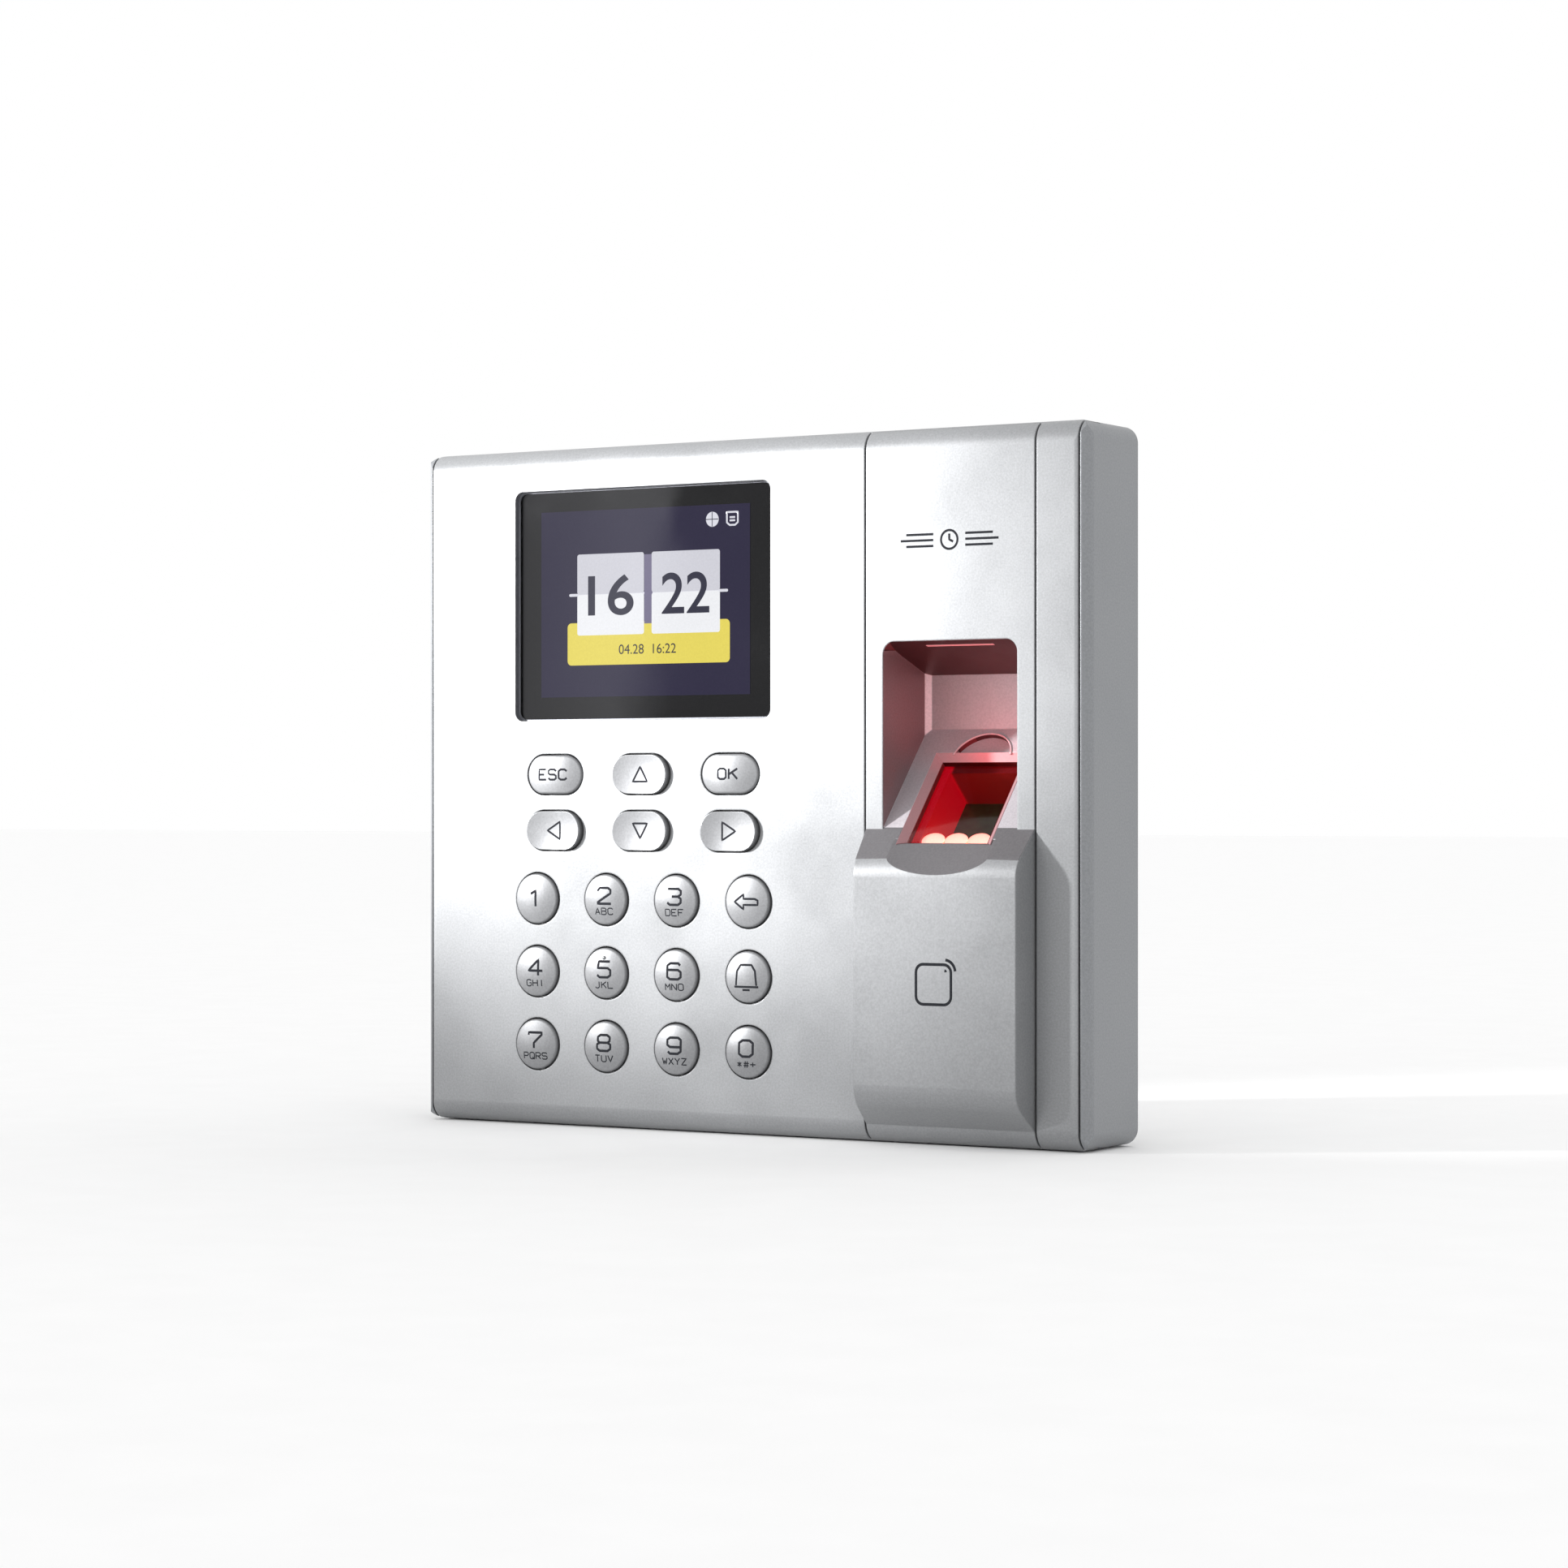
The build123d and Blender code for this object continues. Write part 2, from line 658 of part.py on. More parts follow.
# ---------------------------------------------------------------- rear housing
with BuildPart() as housing:
    add(body_block())
    with BuildSketch(layer(cover_depth + seam)):
        Rectangle(2 * seam_x + seam, body_height)
    extrude(amount=cover_depth + seam, mode=Mode.SUBTRACT)
    with BuildSketch(layer(shell_floor)):
        Rectangle(body_width - 2 * wall, body_height - 2 * wall)
    extrude(amount=shell_floor - cover_depth - seam, mode=Mode.SUBTRACT)
    with BuildSketch(layer(plinth_back)):
        RectangleRounded(plinth_width, plinth_height, plinth_round)
    extrude(amount=plinth_depth)
    plinth_inner = (plinth_width - 2 * rear_wall, plinth_height - 2 * rear_wall)
    with BuildSketch(layer(plinth_floor)):
        RectangleRounded(*plinth_inner, plinth_round - rear_wall)
    extrude(amount=plinth_floor - shell_floor, mode=Mode.SUBTRACT)
    with BuildSketch(layer(plinth_back)):
        RectangleRounded(*plinth_inner, plinth_round - rear_wall)
    extrude(amount=rear_recess, mode=Mode.SUBTRACT)
    # the connector bay: a well reached from behind, open below through the plinth's rim
    with BuildSketch(layer(plinth_floor + rear_wall)):
        with Locations((bay_x, (bay_top + bay_wall + bay_low) / 2)):
            Rectangle(bay_right - bay_left + 2 * bay_wall, bay_top + bay_wall - bay_low)
    extrude(amount=plinth_floor + rear_wall - bay_front + bay_wall)
    with BuildSketch(layer(body_depth)):
        with Locations((bay_x, bay_low - bay_wall / 2)):
            Rectangle(bay_right - bay_left + 2 * bay_wall, bay_wall)
    extrude(amount=body_depth - bay_front + bay_wall)
    with BuildSketch(layer(plinth_back)):
        with Locations((bay_x, (bay_top + bay_low) / 2)):
            Rectangle(bay_right - bay_left, bay_top - bay_low)
    extrude(amount=plinth_back - bay_front, mode=Mode.SUBTRACT)
    # the jacks look down into the bay through its top wall
    with BuildSketch(Plane.XY.offset(bay_top)):
        with Locations((jack_x, face_y + main_board_back + jack_height / 2)):
            Rectangle(jack_width + 2 * slip, jack_height + 2 * slip)
        with Locations((power_x, face_y + main_board_back + power_height / 2)):
            Rectangle(power_width + 2 * slip, power_height + 2 * slip)
    extrude(amount=bay_wall, mode=Mode.SUBTRACT)
    # the USB mouth and the speaker's slots in the bottom wall
    with BuildSketch(Plane.XY.offset(-half_height)):
        with Locations((usb_x, face_y + main_board_back + usb_height / 2)):
            Rectangle(usb_width + 2 * slip, usb_height + 2 * slip)
        with Locations((column_x, face_y + speaker_front + speaker_depth / 2)):
            with GridLocations(grille_pitch, 0, 6, 1):
                SlotOverall(speaker_depth - 2 * speaker_rim, grille_slot, rotation=90)
    extrude(amount=wall, mode=Mode.SUBTRACT)
    # bosses for the main board, then their pilots
    with BuildSketch(layer(plinth_floor)):
        with Locations(*main_screw_places):
            Circle(boss_diameter / 2)
    extrude(amount=plinth_floor - main_board_back)
    with BuildSketch(layer(main_board_back + bite + 1)):
        with Locations(*main_screw_places):
            Circle(screw_shank / 2 + pilot_play)
    extrude(amount=bite + 1, mode=Mode.SUBTRACT)
    # sunk seats for the case screws
    with BuildSketch(layer(body_depth)):
        with Locations(*case_screw_places):
            Circle(case_pad / 2)
    extrude(amount=body_depth - case_boss_end)
    with BuildSketch(layer(body_depth)):
        with Locations(*case_screw_places):
            Circle(screw_head / 2 + slip)
    extrude(amount=body_depth - case_screw_seat, mode=Mode.SUBTRACT)
    with BuildSketch(layer(case_screw_seat)):
        with Locations(*case_screw_places):
            Circle(screw_shank / 2 + slip)
    extrude(amount=rear_wall, mode=Mode.SUBTRACT)
    # the tamper plunger's guide, and slots for the wall plate's hooks
    with BuildSketch(layer(plinth_floor + rear_wall)):
        with Locations((tamper_x, tamper_z)):
            Circle(plunger_radius + plunger_gap)
        for end in (-1, 1):
            slot_top = end * hook_span_z / 2 + plate_thickness
            slot_reach = hook_rise + slip + hook_drop
            with Locations((0, slot_top - slot_reach)):
                with GridLocations(hook_span_x, 0, 2, 1):
                    Rectangle(hook_width + 4 * slip, 2 * slot_reach)
    extrude(amount=rear_wall, mode=Mode.SUBTRACT)
    # the lock screw's hole in the plinth's lower rim
    with BuildSketch(Plane.XY.offset(-plinth_height / 2)):
        with Locations((lock_x, -plate_thickness - rear_recess / 2)):
            Circle(screw_shank / 2 + slip)
    extrude(amount=rear_wall, mode=Mode.SUBTRACT)
save(housing, "housing")
case_screws = screws(layer(case_screw_seat), case_screw_places, rear_wall + bite)
save(case_screws, "case_screws")

# ---------------------------------------------------------------- wall plate
with BuildPart() as wall_plate:
    with BuildSketch(Plane.XZ):
        RectangleRounded(plinth_width, plinth_height, plinth_round)
        with GridLocations(wall_screw_span_x, wall_screw_span_z, 2, 2):
            Circle(wall_screw_hole / 2, mode=Mode.SUBTRACT)
        with Locations((bay_x, bay_low + plate_foot + bay_height / 2)):
            Rectangle(bay_right - bay_left, bay_height, mode=Mode.SUBTRACT)
    extrude(amount=plate_thickness)
    # hooks: a stem through the housing's rear wall and a tongue rising in front of it
    hook_reach = plinth_back - plinth_floor + slip
    for end in (-1, 1):
        with BuildSketch(Plane.XZ.offset(plate_thickness)):
            with Locations((0, end * hook_span_z / 2 + plate_thickness / 2)):
                with GridLocations(hook_span_x, 0, 2, 1):
                    Rectangle(hook_width, plate_thickness)
        extrude(amount=hook_reach + plate_thickness)
        with BuildSketch(Plane.XZ.offset(plate_thickness + hook_reach)):
            with Locations((0, end * hook_span_z / 2 + plate_thickness + hook_rise / 2)):
                with GridLocations(hook_span_x, 0, 2, 1):
                    Rectangle(hook_width, hook_rise)
        extrude(amount=plate_thickness)
    # the lug that the lock screw bites into
    lug_z = rear_wall - plinth_height / 2
    with BuildSketch(Plane.XY.offset(lug_z)):
        with Locations((lock_x, -plate_thickness - rear_recess / 2 + slip)):
            Rectangle(hook_width, rear_recess - 2 * slip)
    extrude(amount=plate_thickness)
    with BuildSketch(Plane.XY.offset(lug_z)):
        with Locations((lock_x, -plate_thickness - rear_recess / 2)):
            Circle(screw_shank / 2 + pilot_play)
    extrude(amount=plate_thickness, mode=Mode.SUBTRACT)
save(wall_plate, "wall_plate")
lock_place = (lock_x, -plate_thickness - rear_recess / 2)
lock_plane = Plane.XY.offset(-plinth_height / 2)
lock_length = rear_wall + plate_thickness + 1.0
lock_screw = screws(lock_plane, [lock_place], lock_length, head=lock_head)
save(lock_screw, "plate_lock_screw")

# ---------------------------------------------------------------- screen
with BuildPart() as display_lens:
    with BuildSketch(layer(lens_thickness)):
        with Locations((display_x, display_z)):
            RectangleRounded(lens_width, lens_height, lens_round)
    extrude(amount=lens_thickness)
save(display_lens, "display_lens")

with BuildPart() as display_gasket:
    with BuildSketch(layer(lcd_panel_depth)):
        with Locations((display_x, display_z)):
            Rectangle(lcd_width, lcd_height)
            Rectangle(
                view_width + 2 * view_margin, view_height + 2 * view_margin, mode=Mode.SUBTRACT
            )
    extrude(amount=gasket_thickness)
save(display_gasket, "display_gasket")

panel_width = lcd_width - 2 * lcd_tray_wall - 2 * slip
panel_height = lcd_height - 2 * lcd_tray_wall - 2 * slip
with BuildPart() as lcd_panel:
    with BuildSketch(layer(backlight_depth)):
        with Locations((display_x, display_z)):
            Rectangle(panel_width, panel_height)
    extrude(amount=lcd_panel_thickness)
save(lcd_panel, "lcd_panel")

with BuildPart() as lcd_backlight:
    with BuildSketch(layer(lcd_floor)):
        with Locations((display_x, display_z)):
            Rectangle(panel_width, panel_height)
    extrude(amount=backlight_thickness)
save(lcd_backlight, "lcd_backlight")

with BuildPart() as lcd_frame:
    with BuildSketch(layer(lcd_back)):
        with Locations((display_x, display_z)):
            Rectangle(lcd_width, lcd_height)
    extrude(amount=lcd_back - lcd_panel_depth)
    with BuildSketch(layer(lcd_floor)):
        with Locations((display_x, display_z)):
            Rectangle(lcd_width - 2 * lcd_tray_wall, lcd_height - 2 * lcd_tray_wall)
    extrude(amount=lcd_floor - lcd_panel_depth, mode=Mode.SUBTRACT)
    with BuildSketch(layer(lcd_back)):
        with Locations((display_x, display_z)):
            SlotOverall(lcd_width + 4 * lcd_ear, 2 * lcd_ear)
        with Locations(*lcd_screw_places):
            Circle(screw_shank / 2 + slip, mode=Mode.SUBTRACT)
    extrude(amount=lcd_tray_wall)
save(lcd_frame, "lcd_frame")
save(screws(layer(lcd_back), lcd_screw_places, lcd_back - wall), "lcd_screws")


# ---------------------------------------------------------------- keys
def key_outline(oval, grow):
    """A round or oval key's outline, this much larger all round."""
    if oval:
        SlotOverall(nav_length + 2 * grow, nav_height + 2 * grow)
    else:
        Circle(key_diameter / 2 + grow)


def key_cap(place, oval, dished):
    """A key: a cap with a curved top, on a flange that keeps it behind the front wall."""
    top_y = face_y - key_rise
    with BuildPart() as key:
        with BuildSketch(layer(flange_depth)):
            with Locations(place):
                key_outline(oval, 0)
        extrude(amount=flange_depth + key_rise)
        if dished:
            fillet(key.faces().sort_by(Axis.Y)[0].edges(), radius=key_edge)
            with Locations((place[0], top_y - dish_curve + dish_depth, place[1])):
                Sphere(dish_curve, mode=Mode.SUBTRACT)
        else:
            with Locations((place[0], top_y + key_curve, place[1])):
                Sphere(key_curve, mode=Mode.INTERSECT)
            rim = key.edges().filter_by(lambda edge: edge.center().Y < face_y)
            fillet(rim, radius=key_edge)
        with BuildSketch(layer(flange_depth + key_flange)):
            with Locations(place):
                key_outline(oval, key_flange)
        extrude(amount=key_flange)
    return key


for name, place in round_places.items():
    save(key_cap(place, False, False), name)
for name, place in nav_places.items():
    save(key_cap(place, True, name in dished_keys), name)

# ---------------------------------------------------------------- keypad mat and board
keypad_high_z = nav_low_z + nav_pitch_z + nav_height / 2 + key_flange
keypad_mid_z = (keypad_low_z + keypad_high_z) / 2
with BuildPart() as keypad_mat:
    with BuildSketch(layer(keypad_board_depth)):
        with Locations((keypad_x, keypad_mid_z)):
            Rectangle(2 * keypad_edge, keypad_high_z - keypad_low_z)
        with Locations(*keypad_screw_places):
            Circle(small_boss / 2 + slip, mode=Mode.SUBTRACT)
    extrude(amount=mat_thickness)
    with BuildSketch(layer(mat_depth)):
        with Locations(*round_places.values(), *nav_places.values()):
            Circle(dome_radius)
    extrude(amount=dome_height, taper=dome_slope)
save(keypad_mat, "keypad_mat")

with BuildPart() as keypad_board:
    with BuildSketch(layer(keypad_board_back)):
        with Locations((keypad_x, keypad_mid_z)):
            Rectangle(2 * keypad_edge, keypad_high_z - keypad_low_z)
        with Locations(*keypad_screw_places):
            Circle(screw_shank / 2 + slip, mode=Mode.SUBTRACT)
    extrude(amount=board_thickness)
save(keypad_board, "keypad_board")
keypad_screws = screws(
    layer(keypad_board_back), keypad_screw_places, keypad_board_back - wall
)
save(keypad_screws, "keypad_screws")

# ---------------------------------------------------------------- main board and its parts
socket_n = sensor_back + board_thickness + socket_height / 2
socket_u = -glass_length / 4
socket_depth = bed_depth + socket_n * cos(tilt) + socket_u * sin(tilt)
socket_z = bed_z - socket_n * sin(tilt) + socket_u * cos(tilt)
aerial_socket = (5.0, 4.0)
aerial_socket_height = 2.4
aerial_lead_x = column_x - hollow_width / 2 + aerial_band / 2
aerial_lead_z = window_low + aerial_socket_height
lead_radius = 0.7
lead_start_gap = 4.0
speaker_lead_z = speaker_gasket_thickness + speaker_height / 2 + wall - half_height
with BuildPart() as main_board:
    board_mid = ((main_board_left + main_board_right) / 2, (main_board_top + main_board_low) / 2)
    with BuildSketch(layer(main_board_back)):
        with Locations(board_mid):
            Rectangle(main_board_right - main_board_left, main_board_top - main_board_low)
        with Locations(*main_screw_places):
            Circle(screw_shank / 2 + slip, mode=Mode.SUBTRACT)
    extrude(amount=main_board_thickness)
    # sockets for the aerial on the front, and for the sensor and speaker on the back
    with BuildSketch(layer(main_board_depth)):
        with Locations((main_board_right - aerial_socket[0], aerial_lead_z)):
            Rectangle(*aerial_socket)
    extrude(amount=aerial_socket_height)
    with BuildSketch(layer(main_board_back + socket_height)):
        with Locations((main_board_right - 1.5 * socket_width, socket_z)):
            Rectangle(socket_width, socket_length)
        with Locations((main_board_right - socket_width, speaker_lead_z)):
            Rectangle(socket_width, socket_length / 2)
    extrude(amount=socket_height)
save(main_board, "main_board")
main_bite = main_board_thickness + bite
main_screws = screws(layer(main_board_depth), main_screw_places, main_bite, way=-1)
save(main_screws, "main_board_screws")

shield_size = 26.0
shield_height = 2.4
shield_wall = 0.3
with BuildPart() as processor_shield:
    with BuildSketch(layer(main_board_depth)):
        with Locations((display_x, display_z)):
            Rectangle(shield_size, shield_size)
    extrude(amount=shield_height)
    with BuildSketch(layer(main_board_depth)):
        with Locations((display_x, display_z)):
            Rectangle(shield_size - 2 * shield_wall, shield_size - 2 * shield_wall)
    extrude(amount=shield_height - shield_wall, mode=Mode.SUBTRACT)
save(processor_shield, "processor_shield")

with BuildPart() as network_jack:
    jack_y = face_y + main_board_back + jack_height / 2
    with BuildSketch(Plane.XY.offset(bay_top)):
        with Locations((jack_x, jack_y)):
            Rectangle(jack_width, jack_height)
    extrude(amount=jack_length)
    with BuildSketch(Plane.XY.offset(bay_top)):
        with Locations((jack_x, jack_y)):
            Rectangle(*jack_mouth)
        with Locations((jack_x, jack_y + (jack_mouth[1] + jack_latch[1]) / 2 - slip)):
            Rectangle(*jack_latch)
    extrude(amount=jack_length - jack_back, mode=Mode.SUBTRACT)
save(network_jack, "network_jack")

with BuildPart() as power_jack:
    power_y = face_y + main_board_back + power_height / 2
    with BuildSketch(Plane.XY.offset(bay_top)):
        with Locations((power_x, power_y)):
            Rectangle(power_width, power_height)
            Circle(power_mouth, mode=Mode.SUBTRACT)
            Circle(power_pin)
    extrude(amount=power_length - power_back)
    with BuildSketch(Plane.XY.offset(bay_top + power_length - power_back)):
        with Locations((power_x, power_y)):
            Rectangle(power_width, power_height)
    extrude(amount=power_back)
save(power_jack, "power_jack")

with BuildPart() as usb_port:
    usb_y = face_y + main_board_back + usb_height / 2
    with BuildSketch(Plane.XY.offset(slip - half_height)):
        with Locations((usb_x, usb_y)):
            Rectangle(usb_width, usb_height)
            Rectangle(usb_width - 2 * usb_shell, usb_height - 2 * usb_shell, mode=Mode.SUBTRACT)
        with Locations((usb_x, usb_y - usb_height / 2)):
            Rectangle(
                usb_width - 2,
                usb_tongue_foot + usb_tongue,
                align=(Align.CENTER, Align.MIN),
            )
    extrude(amount=usb_length - usb_back)
    with BuildSketch(Plane.XY.offset(slip - half_height + usb_length - usb_back)):
        with Locations((usb_x, usb_y)):
            Rectangle(usb_width, usb_height)
    extrude(amount=usb_back)
save(usb_port, "usb_port")

with BuildPart() as battery_pack:
    with BuildSketch(layer(plinth_floor)):
        with Locations((battery_x, battery_z)):
            RectangleRounded(battery_width, battery_height, battery_corner)
    extrude(amount=battery_thickness)
    fillet(battery_pack.edges().group_by(Axis.Y)[0], radius=battery_corner / 2)
save(battery_pack, "battery_pack")

cell_radius = 10.0
cell_thickness = 3.2
cell_x = battery_x
cell_z = bay_top + 29.0
cell_seat = 1.0
cell_rim = 1.6
cell_arm = 9.0
with BuildPart() as coin_cell_holder:
    with BuildSketch(layer(main_board_back + cell_thickness + cell_seat)):
        with Locations((cell_x, cell_z)):
            Circle(cell_radius + cell_rim)
            Rectangle(cell_arm, 2 * (cell_radius + cell_rim) + cell_arm / 2)
    extrude(amount=cell_thickness + cell_seat)
    with BuildSketch(layer(main_board_back + cell_thickness + cell_seat)):
        with Locations((cell_x, cell_z)):
            Circle(cell_radius + slip)
    extrude(amount=cell_thickness, mode=Mode.SUBTRACT)
save(coin_cell_holder, "coin_cell_holder")

with BuildPart() as coin_cell:
    with BuildSketch(layer(main_board_back + cell_thickness + cell_seat)):
        with Locations((cell_x, cell_z)):
            Circle(cell_radius)
    extrude(amount=cell_thickness)
    fillet(coin_cell.edges().group_by(Axis.Y)[-1], radius=0.6)
save(coin_cell, "coin_cell")

# ---------------------------------------------------------------- speaker on the bottom wall
speaker_floor = wall - half_height
speaker_place = (column_x, face_y + speaker_front + speaker_depth / 2)
with BuildPart() as speaker_gasket:
    with BuildSketch(Plane.XY.offset(speaker_floor)):
        with Locations(speaker_place):
            Rectangle(speaker_width, speaker_depth)
            Rectangle(
                speaker_width - 2 * speaker_rim, speaker_depth - speaker_rim, mode=Mode.SUBTRACT
            )
    extrude(amount=speaker_gasket_thickness)
save(speaker_gasket, "speaker_gasket")

with BuildPart() as speaker:
    with BuildSketch(Plane.XY.offset(speaker_floor + speaker_gasket_thickness)):
        with Locations(speaker_place):
            RectangleRounded(speaker_width, speaker_depth, speaker_rim)
    extrude(amount=speaker_height)
    with BuildSketch(Plane.XY.offset(speaker_floor + speaker_gasket_thickness)):
        with Locations(speaker_place):
            SlotOverall(speaker_width - 3 * speaker_rim, speaker_depth - 2 * speaker_rim)
    extrude(amount=speaker_gasket_thickness, mode=Mode.SUBTRACT)
save(speaker, "speaker")

# ---------------------------------------------------------------- tamper plunger and switch
with BuildPart() as tamper_plunger:
    with BuildSketch(layer(plunger_tip)):
        with Locations((tamper_x, tamper_z)):
            Circle(plunger_radius)
    extrude(amount=plunger_tip - plunger_head)
    with BuildSketch(layer(plinth_floor)):
        with Locations((tamper_x, tamper_z)):
            Circle(plunger_radius + plunger_collar)
    extrude(amount=plunger_collar)
    fillet(tamper_plunger.edges().group_by(Axis.Y)[-1], radius=plunger_nose)
save(tamper_plunger, "tamper_plunger")

with BuildPart() as tamper_switch:
    with BuildSketch(layer(main_board_back + switch_height)):
        with Locations((tamper_x, tamper_z)):
            Rectangle(switch_size, switch_size)
    extrude(amount=switch_height)
    with BuildSketch(layer(main_board_back + switch_height + switch_button)):
        with Locations((tamper_x, tamper_z)):
            Circle(plunger_radius - plunger_gap)
    extrude(amount=switch_button)
save(tamper_switch, "tamper_switch")


# ---------------------------------------------------------------- ribbons and leads
def ribbon(x, width, front_depth, back_depth, top_z, bend_z, low_z):
    """A flat ribbon lying on one layer, stepping back at the bend, and lying on the next."""
    half = ribbon_thickness / 2
    with BuildPart() as strip:
        with BuildSketch(side_view(x - width / 2)):
            with BuildLine():
                FilletPolyline(
                    (face_y + front_depth + half, top_z),
                    (face_y + front_depth + half, bend_z),
                    (face_y + back_depth - half, bend_z),
                    (face_y + back_depth - half, low_z),
                    radius=ribbon_bend,
                )
            trace(line_width=ribbon_thickness)
        extrude(amount=width)
    return strip


def lead(start, *points):
    """A round lead from one point through the others, its bends eased."""
    with BuildPart() as wire:
        with BuildLine() as route:
            if len(points) > 1:
                FilletPolyline(start, *points, radius=2 * lead_radius)
            else:
                Line(start, points[0])
        with BuildSketch(Plane(origin=route.line @ 0, z_dir=route.line % 0)):
            Circle(lead_radius)
        sweep()
    return wire


ribbon_thickness = 0.3
ribbon_bend = 1.0
ribbon_tail = 8.0
lcd_ribbon_width = 20.0
keypad_ribbon_width = 14.0
screen_foot = display_z - lcd_height / 2
lcd_ribbon = ribbon(
    display_x,
    lcd_ribbon_width,
    lcd_back,
    main_board_depth,
    screen_foot + ribbon_tail - ribbon_tail / 4,
    screen_foot - ribbon_tail / 4,
    screen_foot - ribbon_tail - ribbon_tail / 4,
)
save(lcd_ribbon, "lcd_ribbon")
keypad_ribbon = ribbon(
    keypad_x,
    keypad_ribbon_width,
    keypad_board_back,
    main_board_depth,
    keypad_mid_z + ribbon_tail,
    keypad_mid_z,
    keypad_mid_z - ribbon_tail,
)
save(keypad_ribbon, "keypad_ribbon")

sensor_lead = lead(
    (column_x - socket_length / 2 - slip, face_y + socket_depth, socket_z),
    (main_board_right + lead_start_gap, face_y + main_board_back + socket_height / 2, socket_z),
    (main_board_right - socket_width, face_y + main_board_back + socket_height / 2, socket_z),
)
save(sensor_lead, "sensor_lead")
aerial_lead = lead(
    (aerial_lead_x, face_y + board_thickness - hollow_depth, aerial_lead_z),
    (aerial_lead_x, face_y + main_board_depth - aerial_socket_height / 2, aerial_lead_z),
    (
        main_board_right - aerial_socket[0] / 2,
        face_y + main_board_depth - aerial_socket_height / 2,
        aerial_lead_z,
    ),
)
save(aerial_lead, "aerial_lead")
speaker_lead = lead(
    (column_x - speaker_width / 2, face_y + main_board_back + socket_height / 2, speaker_lead_z),
    (
        main_board_right - socket_width / 2,
        face_y + main_board_back + socket_height / 2,
        speaker_lead_z,
    ),
)
save(speaker_lead, "speaker_lead")
battery_lead_x = battery_x - battery_width / 4
battery_lead = lead(
    (battery_lead_x, face_y + plinth_floor - battery_thickness, battery_z),
    (battery_lead_x, face_y + main_board_back, battery_z),
)
save(battery_lead, "battery_lead")

# ---------------------------------------------------------------- blank rating label
label_width = 44.0
label_height = 22.0
label_corner = 1.5
label_thickness = 0.15
with BuildPart() as rating_label:
    with BuildSketch(layer(plinth_floor + rear_wall + label_thickness)):
        with Locations((battery_x, battery_z)):
            RectangleRounded(label_width, label_height, label_corner)
    extrude(amount=label_thickness)
save(rating_label, "rating_label")
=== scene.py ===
"""Looks of the fingerprint time clock: finishes, key legends, lit screen, red finger recess."""

import json
from math import cos, pi, radians, sin, sqrt

import bmesh
import bpy
from mathutils import Matrix, Vector


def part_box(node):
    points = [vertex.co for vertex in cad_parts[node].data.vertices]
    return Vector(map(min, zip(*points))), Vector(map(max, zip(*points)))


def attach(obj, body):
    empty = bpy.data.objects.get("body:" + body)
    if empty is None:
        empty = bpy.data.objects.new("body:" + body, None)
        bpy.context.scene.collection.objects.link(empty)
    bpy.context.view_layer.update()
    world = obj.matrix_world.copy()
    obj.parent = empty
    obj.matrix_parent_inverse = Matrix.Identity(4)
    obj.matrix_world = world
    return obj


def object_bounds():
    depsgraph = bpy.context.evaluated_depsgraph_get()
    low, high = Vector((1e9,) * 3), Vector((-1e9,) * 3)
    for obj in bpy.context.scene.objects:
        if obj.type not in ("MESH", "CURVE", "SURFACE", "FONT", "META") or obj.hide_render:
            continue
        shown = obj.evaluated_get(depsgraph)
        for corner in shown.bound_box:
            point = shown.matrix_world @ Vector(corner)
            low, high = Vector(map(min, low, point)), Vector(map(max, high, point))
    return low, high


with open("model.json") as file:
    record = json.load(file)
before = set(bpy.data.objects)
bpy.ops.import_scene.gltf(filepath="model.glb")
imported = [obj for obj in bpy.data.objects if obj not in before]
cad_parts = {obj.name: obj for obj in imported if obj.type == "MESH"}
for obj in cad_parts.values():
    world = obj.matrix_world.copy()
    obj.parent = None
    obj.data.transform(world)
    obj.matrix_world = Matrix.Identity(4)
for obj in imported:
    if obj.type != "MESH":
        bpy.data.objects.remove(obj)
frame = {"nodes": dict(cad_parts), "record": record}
cad_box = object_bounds()
MM = 0.001
TERMINAL = "terminal"

# ---------------------------------------------------------------- finishes
NOISE_LOW, NOISE_HIGH = 0.3, 0.7
FINE_SHARE, BROAD_SHARE = 0.75, 0.25
BROAD_DETAIL = 4.0
RELIEF_GRAIN = 1800.0
RELIEF_DEPTH = 0.05 * MM
ROUGH_SWING = 0.08
SMOOTHEST = 0.02
COAT_ROUGH = 0.12
SHEET_IOR = 1.4


def wire(nodes, links, kind, **inputs):
    """A new node with its named inputs set, or joined where the value is a socket."""
    node = nodes.new(kind)
    for name, value in inputs.items():
        socket = node.inputs[name.replace("_", " ")]
        if isinstance(value, bpy.types.NodeSocket):
            links.new(value, socket)
        else:
            socket.default_value = value
    return node


def noise(nodes, links, where, scale, detail=2.0):
    """A noise pattern of this many grains to the metre, read at the piece's own place."""
    node = wire(nodes, links, "ShaderNodeTexNoise", Vector=where, Scale=scale, Detail=detail)
    return node.outputs["Fac"]


def spread(nodes, links, value, low, high):
    """The middle of a noise pattern's swing stretched to run from low to high."""
    node = wire(nodes, links, "ShaderNodeMapRange", Value=value)
    node.inputs["From Min"].default_value = NOISE_LOW
    node.inputs["From Max"].default_value = NOISE_HIGH
    node.inputs["To Min"].default_value = low
    node.inputs["To Max"].default_value = high
    return node.outputs["Result"]


def tinted(nodes, links, factor, dark, light):
    """A colour between two, by a factor from 0 to 1."""
    node = nodes.new("ShaderNodeMix")
    node.data_type = "RGBA"
    links.new(factor, node.inputs[0])
    node.inputs[6].default_value = (*dark, 1)
    node.inputs[7].default_value = (*light, 1)
    return node.outputs[2]


